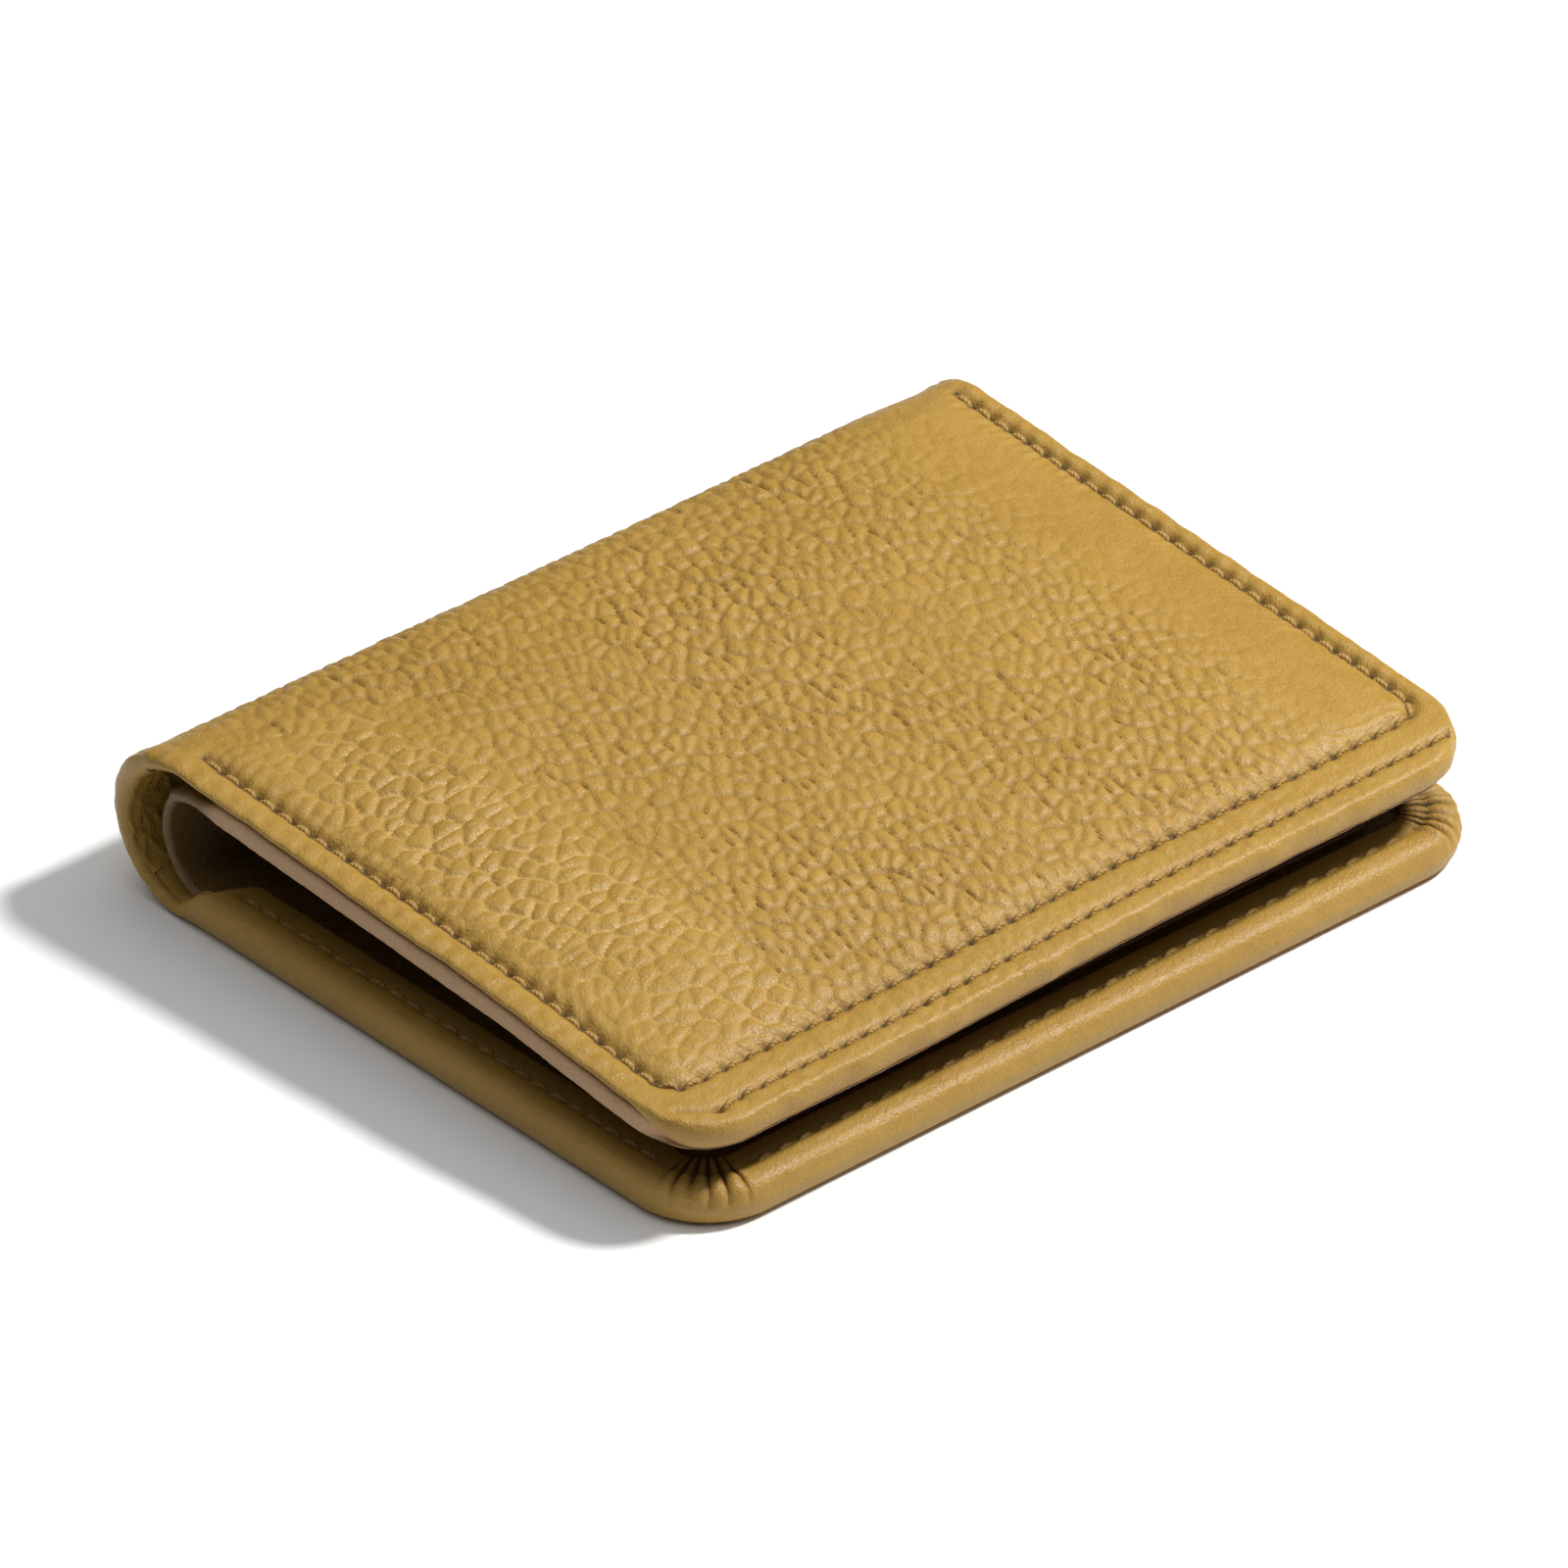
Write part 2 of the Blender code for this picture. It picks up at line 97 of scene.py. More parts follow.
# Sewn rows: the needle holes' pitch, and how far each row runs inside the edge that it follows
PITCH = 2.9
POCKET_PITCH = 2.4
END_ROW = 3.45
INNER_ROW = 8.4
OUTER_ROW = 3.5
HEM_ROW = 3.6
POCKET_SEAM = 2.2
ROW_CORNER = 3.4
ROW_START = -0.5
HEM_ROW_START = 7.0
# The top cover's rows are sewn a little off its middle
ROW_SHIFT = 0.75
FREE_ROW_SHIFT = 1.5
FREE_ROW_HALF = HALF - 5.2

TOP_ANGLE = TURN - math.pi / 2
TOP_ALONG = np.array((-math.sin(TOP_ANGLE), math.cos(TOP_ANGLE)))
TOP_INWARD = np.array((-math.cos(TOP_ANGLE), -math.sin(TOP_ANGLE)))
TOP_START = (CENTRE_Y, SPINE_RADIUS) - SPINE_RADIUS * TOP_INWARD


def smooth(t):
    """0 up to 0, 1 from 1, and a soft step between."""
    t = np.clip(t, 0.0, 1.0)
    return t * t * (3 - 2 * t)


def hump(t):
    """1 at 0, falling to nothing past about 2 on either side."""
    return np.exp(-t * t)


# ---- A layer: leather that runs flat on the bottom cover, round the spine and flat on the top cover

SAG = 1.15  # how low the top cover's near-left part hangs


class Layer:
    """s runs along the leather's middle from 0, where the spine's bend starts. d is the depth below its
    outer face. On the top cover v is the distance from the bend's end."""

    def __init__(self, centre_y, radius, thickness, bottom_depth, top_depth, top_tangent):
        self.centre_y = centre_y
        self.centre_z = bottom_depth + radius
        self.radius = radius
        self.thickness = thickness
        self.bottom_depth = bottom_depth
        self.top_depth = top_depth
        self.top_tangent = top_tangent
        self.middle = radius - thickness / 2
        self.bend = self.middle * TURN
        self.strip = self.bend / STRIPS

    def put(self, x, s, d):
        """The point in mm, in the wallet's own frame. The top cover's near-left part sags."""
        x, s, d = np.broadcast_arrays(*(np.asarray(a, float) for a in (x, s, d)))
        angle = np.clip(s, 0, self.bend) / self.middle - math.pi / 2
        r = self.radius - d
        y = self.centre_y + r * np.cos(angle)
        z = self.centre_z + r * np.sin(angle)
        flat = s < 0
        y = np.where(flat, self.centre_y + s, y)
        z = np.where(flat, self.bottom_depth + d, z)
        v = self.top_tangent + s - self.bend
        top = s > self.bend
        sag = SAG * smooth((9.5 - x) / 42) * smooth((v - 48) / 28)
        for i, axis in enumerate((y, z)):
            there = TOP_START[i] + v * TOP_ALONG[i] + (self.top_depth + d + sag) * TOP_INWARD[i]
            axis[...] = np.where(top, there, axis)
        return np.stack((x, y, z), axis=-1)

    def at_strip(self, number):
        """Where strip number's middle line crosses the leather's middle, in metres."""
        return tuple(self.put(0, number * self.strip, self.thickness / 2) * MM)

    def s_top(self, v):
        return self.bend + v - self.top_tangent


def liner_layer():
    """The same tangent circle that part.py finds for the inner panel's loop."""
    centre_y = CENTRE_Y - LINER_TANGENT
    sides = np.stack((TOP_ALONG, TOP_INWARD - (0, 1)), axis=1)
    right = (centre_y, PANEL_DEPTH_BOTTOM) - TOP_START - PANEL_DEPTH_TOP * TOP_INWARD
    tangent, radius = np.linalg.solve(sides, right)
    return Layer(centre_y, radius, PANEL, PANEL_DEPTH_BOTTOM, PANEL_DEPTH_TOP, tangent)


OUTER = Layer(CENTRE_Y, SPINE_RADIUS, SHELL, 0.0, 0.0, 0.0)
LINER = liner_layer()

# ---- Repeatable noise and leather cells


def lattice(ix, iy, seed):
    """A repeatable number from 0 to 1 for each whole-number point. The multipliers only scramble bits."""
    n = (ix.astype(np.int64) * 374761393 + iy.astype(np.int64) * 668265263 + seed * 362437) & 0xFFFFFFFF
    n = ((n ^ (n >> 13)) * 1274126177) & 0xFFFFFFFF
    n = ((n ^ (n >> 16)) * 668265263) & 0xFFFFFFFF
    return ((n >> 7) & 0xFFFFFF) / 0x1000000


def noise(x, y, seed):
    """Smooth value noise from -1 to 1."""
    ix, iy = np.floor(x), np.floor(y)
    u, v = smooth(x - ix), smooth(y - iy)
    low = lattice(ix, iy, seed) * (1 - u) + lattice(ix + 1, iy, seed) * u
    high = lattice(ix, iy + 1, seed) * (1 - u) + lattice(ix + 1, iy + 1, seed) * u
    return 2 * (low * (1 - v) + high * v) - 1


def cells(x, y, seed, width, least=0.15, jitter=0.9):
    """Leather cells one unit across: furrow from 0 to 1 along their borders, distance to the nearest
    border, and how far each cell's own slight slant lifts it here."""

    def middle(cx, cy):
        return tuple(c + 0.5 + jitter * (lattice(cx, cy, seed + k) - 0.5) for k, c in enumerate((cx, cy)))

    ix, iy = np.floor(x), np.floor(y)
    best = np.full(x.shape, 9.0)
    mine = [np.zeros(x.shape) for _ in range(4)]
    for dx, dy in np.ndindex(3, 3):
        cx, cy = ix + dx - 1, iy + dy - 1
        px, py = middle(cx, cy)
        distance = np.hypot(px - x, py - y)
        near = distance < best
        best = np.where(near, distance, best)
        mine = [np.where(near, new, old) for new, old in zip((px, py, cx, cy), mine)]
    furrow = np.zeros(x.shape)
    border = np.full(x.shape, 9.0)
    for dx, dy in np.ndindex(5, 5):
        cx, cy = ix + dx - 2, iy + dy - 2
        px, py = middle(cx, cy)
        gap = np.hypot(px - mine[0], py - mine[1])
        distance = ((px - x) ** 2 + (py - y) ** 2 - best**2) / (2 * np.maximum(gap, 1e-6))
        distance = np.where(gap > 1e-6, distance, 9.0)
        depth = least + (1 - least) * lattice(cx + mine[2], cy + mine[3], seed + 2)
        furrow = np.maximum(furrow, depth * (1 - smooth(distance / width)))
        border = np.minimum(border, distance)
    slant = (lattice(mine[2], mine[3], seed + 3) - 0.5) * (x - mine[0])
    slant += (lattice(mine[2], mine[3], seed + 4) - 0.5) * (y - mine[1]) + 0.25 * (0.2 - best**2)
    return furrow, border, slant


def sway(x, s, size, seed):
    """Smooth waves in several directions, from about -1 to 1."""
    total = 0.0 * x
    for i in range(6):
        a, b, c = (float(lattice(np.array(float(i)), np.array(float(k)), seed)) for k in range(3))
        turn, pitch = 2 * math.pi * a, size * (0.7 + 0.8 * c)
        total += np.sin((x * math.cos(turn) + s * math.sin(turn)) * 2 * math.pi / pitch + 2 * math.pi * b)
    return total / 3


def grain(x, s, left):
    """Height in mm of the pebble grain, and how far down a furrow the point is, which the material paints as
    shade. left is 1 where its cells run long; there the second value is less than 0, a painted highlight that
    makes their furrows pale."""
    wx = x + 0.25 * sway(x, s, 24, 11) + 0.07 * sway(x, s, 7, 12) + 0.08 * noise(x / 1.6, s / 1.6, 17)
    ws = s + 0.3 * sway(x, s, 26, 13) + 0.07 * sway(x, s, 7, 14) + 0.08 * noise(x / 1.6, s / 1.6, 18)
    # pebbles, 1.8 mm by 2.9 mm, that lean a little off the wallet's width
    long_way, short_way = 0.92 * ws - 0.4 * wx, 0.92 * wx + 0.4 * ws
    cell, dome, slant = cells(short_way / 1.8, long_way / 2.9, 21, 0.2, 0.5)
    # bricks, 3.1 mm by 2.05 mm, that lie more along the wallet's length
    along, across = 0.92 * wx - 0.4 * ws, 0.4 * wx + 0.92 * ws
    brick, flat, lean = cells(along / 3.1, across / 2.05, 31, 0.16, 0.3, 0.8)
    left = smooth((left + 0.15 * sway(x, s, 8, 20) - 0.3) / 0.4)
    furrow = cell * (1 - left) + brick * left
    plate = smooth(dome / 0.34) * (1 - left) + smooth(flat / 0.3) * left
    slant = slant * (1 - left) + lean * left
    deep = 1.05 + 0.2 * sway(x, s, 30, 16)
    height = deep * (-0.27 * furrow + 0.13 * plate + 0.39 * slant)
    # below 0 where left is high: a painted highlight on the light-catching furrows
    return height, np.clip(0.75 * furrow * deep, 0, 0.75) * (1 - 1.9 * left)


# ---- Outlines and rows


def inset_of(x, v, half, end, radius):
    """Distance inside a cover's edge: its two ends, its free edge and the round corners between them."""
    qx, qv = np.abs(x) - (half - radius), v - (end - radius)
    outside = np.hypot(np.maximum(qx, 0), np.maximum(qv, 0))
    return radius - outside - np.minimum(np.maximum(qx, qv), 0)


def open_path(half, start, end, radius):
    """Down one side, round the corner, along the free edge and back up."""
    turn = np.linspace(0, math.pi / 2, 30)
    right = np.stack((half - radius + radius * np.cos(turn), end - radius + radius * np.sin(turn)), axis=1)
    left = right[::-1] * (-1, 1)
    return np.concatenate(([(half, start)], right, left, [(-half, start)]))


def evenly(path, pitch):
    """The needle holes: points one stitch apart along a path."""
    lengths = np.concatenate(([0], np.cumsum(np.hypot(*np.diff(path, axis=0).T))))
    at = np.linspace(0, lengths[-1], round(lengths[-1] / pitch) + 1)
    return np.stack([np.interp(at, lengths, path[:, i]) for i in (0, 1)], axis=1)


BORDER_HOLES = evenly(open_path(HALF - END_ROW, ROW_START, TOP_REACH - INNER_ROW, ROW_CORNER), PITCH)
BORDER_HOLES = BORDER_HOLES + (ROW_SHIFT, 0)
FREE_ROW_V = TOP_REACH - OUTER_ROW
FREE_ROW_ENDS = (FREE_ROW_SHIFT + FREE_ROW_HALF, FREE_ROW_SHIFT - FREE_ROW_HALF)
FREE_EDGE_HOLES = evenly(np.array([(x, FREE_ROW_V) for x in FREE_ROW_ENDS]), PITCH)
HEM_HOLES = evenly(open_path(HALF - HEM_ROW, HEM_ROW_START, BOTTOM_REACH - HEM_ROW, CORNER - HEM_ROW), PITCH)
# no stitch shows in the pleats at the corners
HEM_HOLES = HEM_HOLES[(np.abs(HEM_HOLES[:, 0]) < HALF - CORNER) | (HEM_HOLES[:, 1] < BOTTOM_REACH - CORNER)]
POCKET_HOLES = evenly(
    open_path(
        POCKET_HALF - POCKET_SEAM, POCKET_MOUTHS["rear"] + 1.0, POCKET_END - POCKET_SEAM, POCKET_CORNER
    ), POCKET_PITCH,
)


def dimples(x, v, holes, reach, nearby):
    """How deep needle holes pull the leather in, 1 at a hole's middle. Only points marked nearby are worked
    out."""
    px, pv = x[nearby], v[nearby]
    pulled = np.zeros(px.shape)
    for hx, hv in holes:
        pulled = np.maximum(pulled, hump(np.hypot(px - hx, pv - hv) / reach))
    found = np.zeros(x.shape)
    found[nearby] = pulled
    return found


# ---- The relief of each visible face


def puff(x, v):
    """part.py's padding: how far it lifts the top cover."""
    across = smooth((HALF - np.abs(x) - 5) / 16)
    along = smooth(v / 16) * smooth((TOP_REACH - INNER_ROW - v) / 16)
    return across * along


def spine_bulge(x, s):
    """The spine stands out more at the near-left end than at the far one."""
    round_spine = np.sin(math.pi * np.clip(s / OUTER.bend, 0, 1)) ** 1.4
    upper = smooth(s / OUTER.bend * 1.6)
    more = 1.4 * smooth((12 - x) / 70) - 0.7 * smooth((x + 5) / 62) - 1.1 * smooth((x - 44) / 14)
    return round_spine * upper * more


def border_inset(x, v):
    """Distance inside the row that runs round three sides of the top cover."""
    return inset_of(x - ROW_SHIFT, v, HALF - END_ROW, TOP_REACH - INNER_ROW, ROW_CORNER)


def to_border_row(x, v):
    along = np.abs(border_inset(x, np.maximum(v, ROW_START)))
    return np.hypot(along, np.minimum(v - ROW_START, 0))


def to_free_row(x, v):
    return np.hypot(v - FREE_ROW_V, np.maximum(np.abs(x - FREE_ROW_SHIFT) - FREE_ROW_HALF, 0))


def to_crease(x, v):
    """Distance from the short crease that runs on from the free edge's row towards the near-left corner."""
    start, length, fall = FREE_ROW_ENDS[1], 3.65, 2.5
    along = np.clip((start - x) / length, 0, 1)
    past = np.maximum(x - start, 0) + np.maximum(start - length - x, 0)
    return np.hypot(v - (FREE_ROW_V - fall * along), past)


def at_side_row(x):
    """1 along the border row's two sides, where the thread is sunk deeper."""
    return smooth((np.abs(x - ROW_SHIFT) - (HALF - END_ROW - 2)) / 2)


def seams(x, s):
    """What sewing does to the top cover: the lift of the leather, and the painted shade in its furrows and
    holes."""
    v = s - OUTER.bend
    on_top = smooth((v + 1.5) / 3)
    border, free, crease, inside = to_border_row(x, v), to_free_row(x, v), to_crease(x, v), border_inset(x, v)
    holes = dimples(x, v, BORDER_HOLES, 0.6, border < 1.6)
    holes = np.maximum(holes, dimples(x, v, FREE_EDGE_HOLES, 0.5, free < 1.6))
    swell = 0.5 * smooth(inside / 3.4)
    furrows = (0.5 + 0.15 * at_side_row(x)) * hump(border / 0.75) + 0.36 * hump(free / 0.65)
    furrows += 0.36 * hump(crease / 0.5)
    # short puckers that run into the rows from the swollen side
    pucker = smooth((inside + 0.2) / 0.8) * smooth((4.2 - inside) / 3.5)
    phase = np.where(v < TOP_REACH - INNER_ROW - 3, v, np.abs(x)) / PITCH * (1.6 + 0.3 * sway(x, s, 30, 57))
    puckers = 0.12 * pucker * np.cos(2 * math.pi * phase + 3 * noise(x / 5, s / 5, 52))
    # painted shade along the rows and the crease, and in the needle holes
    dark = 0.5 * hump(border / 0.5) + 0.4 * hump(free / 0.45) + 0.7 * hump(crease / 0.4)
    dark += 0.35 * at_side_row(x) * hump(border / 0.7)
    return on_top * (swell - furrows + puckers) - 0.38 * holes, on_top * dark + 1.1 * holes


def edge_roll(x, s):
    """The rolled edge's swell and lumps, and the cover's slow waves."""
    v = s - OUTER.bend
    edge = inset_of(x, v, HALF, TOP_REACH, CORNER)
    front = smooth((v - (TOP_REACH - 14)) / 4)
    roll = 0.16 * hump((edge - 2.0) / 1.2) * (1 - 0.6 * front)
    lumps = np.cos(2 * math.pi * v / PITCH + 2 * noise(x / 6, v / 6, 53))
    roll += 0.10 * hump((edge - 1.6) / 1.0) * (1 - front) * lumps
    roll += 0.05 * noise(x / 0.9, s / 0.9, 54) * smooth((7 - edge) / 4)
    return roll + 0.10 * noise(x / 17, s / 15, 51) * smooth(edge / 8)


def grain_share(x, s):
    """How much of the grain shows: it is pressed smooth at the far end, outside the rows and at the bend's
    start."""
    v = s - OUTER.bend
    on_top = smooth((v + 1.5) / 3)
    share = 0.12 + 0.88 * smooth((HALF - x - 5.5) / 20)
    share *= 0.5 + 0.5 * smooth((HALF + x - 3.5) / 7)
    share *= 0.35 + 0.65 * smooth((border_inset(x, v) + 1) / 5) * on_top + 0.58 * (1 - on_top)
    share *= 1 - 0.35 * smooth(1 - np.hypot(x + HALF, v - TOP_REACH) / 42)
    share *= 0.5 + 0.5 * smooth((v + 9) / 9)
    share *= 0.35 + 0.65 * smooth(np.hypot(x + HALF, v - 2) / 22)
    return share


def outer_relief(x, s):
    """Lift of the shell leather over its plain face, for the whole length of the leather, and its tint of
    painted shade and painted highlight.
    """
    v = s - OUTER.bend
    left = smooth((-24 - x) / 16) * smooth((v + 4) / 14)
    height, furrow = grain(x, s, left)
    share = grain_share(x, s)
    sewn, dark = seams(x, s)
    lift = puff(x, v) + sewn + edge_roll(x, s) + share * height + spine_bulge(x, s)
    return lift, np.clip(share * furrow + dark, -1, 1)


def inner_side_relief(x, s):
    """The back of the shell leather, seen only in the spine's hollow."""
    height, furrow = grain(x + 200, s, 0 * x)
    return -0.6 * height, 0.7 * furrow


def panel_relief(x, s):
    """The inner leather's face: a finer, flatter grain."""
    wx = x + 0.8 * noise(x / 6, s / 6, 61)
    ws = s + 0.8 * noise(x / 6, s / 6, 62)
    furrow, dome, _ = cells(wx / 1.25, ws / 1.5, 63, 0.26)
    lift = -0.055 * furrow + 0.03 * smooth(dome / 0.5) + 0.05 * noise(x / 14, s / 14, 64)
    return lift, 0.8 * furrow


def settled(x, s, d):
    """The top cover's place: its near-left free corner reaches out a little."""
    corner = smooth(1 - np.hypot(x + HALF - 3, s - OUTER.bend - TOP_REACH + 3) / 9)
    return OUTER.put(x - 0.7 * corner, s + 0.7 * corner, d)


# ---- Mesh building


def spaced(stops, steps):
    """Values through the stops, with about the given step between each pair."""
    found = [np.array([stops[0]])]
    for a, b, step in zip(stops, stops[1:], steps):
        found.append(np.linspace(a, b, max(1, round(abs(b - a) / step)) + 1)[1:])
    return np.concatenate(found)


def round_corners(x, s, radius, at_end):
    """Presses the grid's square corners into round ones at its first or last row."""
    half, end = x.max(), (s.max() if at_end else s.min())
    sign = 1 if at_end else -1
    a = (np.abs(x) - (half - radius)) / radius
    b = (sign * (s - end) + radius) / radius
    inside = (a > 0) & (b > 0)
    pa = np.where(inside, a * np.sqrt(np.maximum(1 - b * b / 2, 0)), a)
    pb = np.where(inside, b * np.sqrt(np.maximum(1 - a * a / 2, 0)), b)
    return np.sign(x) * (half - radius + radius * pa), end + sign * radius * (pb - 1)


def outward(x, s, half, first, last, radii):
    """Direction away from the piece, in the x, s plane, for points on its grid's edge."""
    nx, ns = np.zeros(x.shape), np.zeros(x.shape)
    on_side = np.abs(np.abs(x) - half) < 1e-6
    nx[on_side] = np.sign(x[on_side])
    for end, radius, sign in ((first, radii[0], -1), (last, radii[1], 1)):
        if radius is None:
            continue
        row = (np.abs(s - end) < 1e-6) & ~on_side
        ns[row] = sign
        if radius > 0:
            dx, ds = np.abs(x) - (half - radius), sign * (s - end) + radius
            bend = (dx > 1e-9) & (ds > 1e-9)
            nx[bend] = np.sign(x[bend]) * (dx / np.hypot(dx, ds))[bend]
            ns[bend] = sign * (ds / np.hypot(dx, ds))[bend]
    return nx, ns


def edge_runs(rows, columns, cut_start, cut_end):
    """The (row, column) places round a grid's edge, without its cut ends: one run, or two if both are cut."""
    left = [(j, 0) for j in range(rows)]
    last = [(rows - 1, i) for i in range(1, columns - 1)]
    right = [(j, columns - 1) for j in reversed(range(rows))]
    first = [(0, i) for i in reversed(range(1, columns - 1))]
    if cut_end:
        return [left, right]
    return [left + last + right + ([] if cut_start else first)]


def plain_back(ring, rows, columns, cut_start):
    """Strips from side to side, from the rim's last ring, for a slab whose hidden back needs no grid."""
    left = ring[:rows]
    right = ring[rows + columns - 2 : 2 * rows + columns - 2][::-1]
    faces = [[left[j], left[j + 1], right[j + 1], right[j]] for j in range(rows - 1)]
    faces.append([left[-1]] + ring[rows : rows + columns - 2] + [right[-1]])
    if not cut_start:
        faces.append([right[0]] + ring[2 * rows + columns - 2 :] + [left[0]])
    return faces


def skin(name, xs, ss, radii, put, face, rim, back=None):
    """A closed slab. xs and ss are its fine face's grid lines. radii are the corner radii at its first and
    last row, None where that row is cut: both, the first or neither. face(x, s) and back(x, s) give depth
    and tint. Only a slab that isn't cut at its last row can go without a back. rim(x, s, face_depth) gives
    the rows from the face's edge to the back's, as (way out, depth, tint, raw leather)."""
    x, s = np.meshgrid(xs, ss)
    for radius, at_end in zip(radii, (False, True)):
        if radius:
            x, s = round_corners(x, s, radius, at_end)
    cut_start, cut_end = (radius is None for radius in radii)
    rows, columns = x.shape
    index = np.arange(x.size).reshape(rows, columns)
    quads = np.stack((index[:-1, :-1], index[:-1, 1:], index[1:, 1:], index[1:, :-1]), axis=-1).reshape(-1, 4)
    depth, tint = face(x, s)
    layers = [(x, s, depth, tint, 0.0)]
    faces = quads.tolist()
    count = x.size
    if back is not None:
        layers.append((x, s, *back(x, s), 0.0))
        faces += (quads[:, ::-1] + count).tolist()
        back_index = index + count
        count *= 2
    ends = {}
    for run in edge_runs(rows, columns, cut_start, cut_end):
        j, i = np.array(run).T
        rx, rs = x[j, i], s[j, i]
        way_x, way_s = outward(rx, rs, x.max(), s.min(), s.max(), radii)
        steps = rim(rx, rs, depth[j, i])
        rings = [index[j, i]]
        for out, d, t, raw in steps if back is None else steps[:-1]:
            layers.append((rx + way_x * out, rs + way_s * out, d, t, raw))
            rings.append(np.arange(count, count + len(rx)))
            count += len(rx)
        if back is not None:
            rings.append(back_index[j, i])
        for a, b in zip(rings, rings[1:]):
            if not cut_start:
                a, b = np.append(a, a[0]), np.append(b, b[0])
            faces += np.stack((a[:-1], a[1:], b[1:], b[:-1]), axis=-1).tolist()
        for place, number in ((run[0], 0), (run[-1], -1)):
            ends[place] = [int(ring[number]) for ring in rings]
    for is_cut, row in ((cut_start, 0), (cut_end, rows - 1)):
        if is_cut:
            near, far = ends[(row, 0)], ends[(row, columns - 1)]
            across = [] if back is None else back_index[row, 1:-1][::-1].tolist()
            faces.append(index[row].tolist() + far[1:] + across + near[:0:-1])
    if back is None:
        faces += plain_back(rings[-1].tolist(), rows, columns, cut_start)
    layers = [np.broadcast_arrays(*layer) for layer in layers]
    px, ps, pd, tint, raw = (np.concatenate([layer[k].ravel() for layer in layers]) for k in range(5))
    return make_object(name, put(px, ps, pd), faces, np.stack((px, ps, pd), axis=1), tint, raw)


def in_scene(name, data):
    obj = bpy.data.objects.new(name, data)
    bpy.context.scene.collection.objects.link(obj)
    return obj


def make_object(name, points, faces, place, tint, raw):
    """A mesh object facing out, from points in mm. It stores place, the leather's own coordinates."""
    mesh = bpy.data.meshes.new(name)
    mesh.from_pydata((points * MM).tolist(), [], faces)
    for label, values in (("leather_place", place), ("furrow", tint), ("raw_edge", raw)):
        kind = "FLOAT_VECTOR" if values.ndim == 2 else "FLOAT"
        stored = mesh.attributes.new(label, kind, "POINT")
        part = "vector" if values.ndim == 2 else "value"
        stored.data.foreach_set(part, values.astype(np.float32).ravel())
    bm = bmesh.new()
    bm.from_mesh(mesh)
    bmesh.ops.recalc_face_normals(bm, faces=bm.faces)
    bm.to_mesh(mesh)
    bm.free()
    mesh.shade_smooth()
    mesh.set_sharp_from_angle(angle=math.radians(62))
    return in_scene(name, mesh)


def half_round(rows, reach, blunt, fine_depth, far_depth, face_depth):
    """The rows of a half round, as the share of the way round, the way out and the depth."""
    for k in range(1, rows + 1):
        t = k / rows
        turn = math.pi * t
        plain = fine_depth + (far_depth - fine_depth) * (1 - math.cos(turn)) / 2
        yield t, reach * math.sin(turn) ** blunt, plain + (face_depth - fine_depth) * (1 - t) ** 2


def rounded_rim(fine_depth, back_depth, reach, raw, wave=0.0, rows=9, mustard_share=0.0):
    """An edge as a half round that stands out by reach, with raw leather on it past its mustard share."""

    def rim(x, s, face_depth):
        ripple = noise((x + s) / 2.1, (x - s) / 2.1, 71) + 0.8 * noise((x + s) / 7, (x - s) / 7, 72)
        steps = half_round(rows, reach + wave * ripple, 1, fine_depth, back_depth, face_depth)
        return [(out, d, 0.0, raw * smooth((t - mustard_share) / 0.12)) for t, out, d in steps]

    return rim


def lapped_rim(fine_depth, back_depth, reach, edge, wave, mustard_share, blunt=1):
    """A half round that goes on, and then tucks back under to back_depth. edge(x, s) gives the depth that
    it goes on to, how far it is drawn in and how raw it is. The lower blunt is, the squarer it is."""

    def rim(x, s, face_depth):
        far, pull, bare = edge(x, s)
        ripple = wave * (sway(x, s, 5, 71) + 0.6 * sway(x, s, 13, 72))
        steps = [
            (out - pull * smooth(t / 0.3), d, 0.0, bare * smooth((t - mustard_share) / 0.12))
            for t, out, d in half_round(9, reach + ripple, blunt, fine_depth, far, face_depth)
        ]
        return steps + [(-0.45 - pull, far, 0.0, bare), (-0.5 - pull, back_depth, 0.0, bare)]

    return rim


# ---- Materials


class Nodes:
    """The nodes of a new material or world. A value is a number, a colour or another node's output."""

    def __init__(self, owner):
        owner.use_nodes = True
        self.owner = owner
        self.tree = owner.node_tree

    def set(self, socket, value):
        if isinstance(value, bpy.types.NodeSocket):
            self.tree.links.new(value, socket)
        elif socket.type == "RGBA":
            socket.default_value = (*value, 1)
        else:
            socket.default_value = value

    def add(self, kind, inputs=None, **settings):
        node = self.tree.nodes.new("ShaderNode" + kind)
        for key, value in settings.items():
            setattr(node, key, value)
        for key, value in (inputs or {}).items():
            self.set(node.inputs[key], value)
        return node

    def attribute(self, name):
        return self.add("Attribute", attribute_name=name)

    def math(self, operation, a, b):
        return self.add("Math", {0: a, 1: b}, operation=operation).outputs[0]

    def mix(self, share, a, b):
        return self.add("Mix", {0: share, 6: a, 7: b}, data_type="RGBA").outputs[2]

    def noise(self, coords, scale, detail=3.0, roughness=0.55):
        inputs = {"Vector": coords, "Scale": scale, "Detail": detail, "Roughness": roughness}
        return self.add("TexNoise", inputs).outputs["Fac"]

    def spread(self, value, low, high, to_low, to_high):
        """The value, moved in a straight line from one range to another and held inside it."""
        return self.add("MapRange", {0: value, 1: low, 2: high, 3: to_low, 4: to_high}).outputs[0]

    def bump(self, height, distance, *normal):
        inputs = {"Height": height, "Distance": distance, "Strength": 1.0}
        if normal:
            inputs["Normal"] = normal[0]
        return self.add("Bump", inputs).outputs["Normal"]

    def finish(self, colour, roughness, normal, shine=0.5):
        inputs = self.tree.nodes["Principled BSDF"].inputs
        for key, value in (("Base Color", colour), ("Roughness", roughness), ("Normal", normal)):
            self.set(inputs[key], value)
        inputs["Specular IOR Level"].default_value = shine
        return self.owner


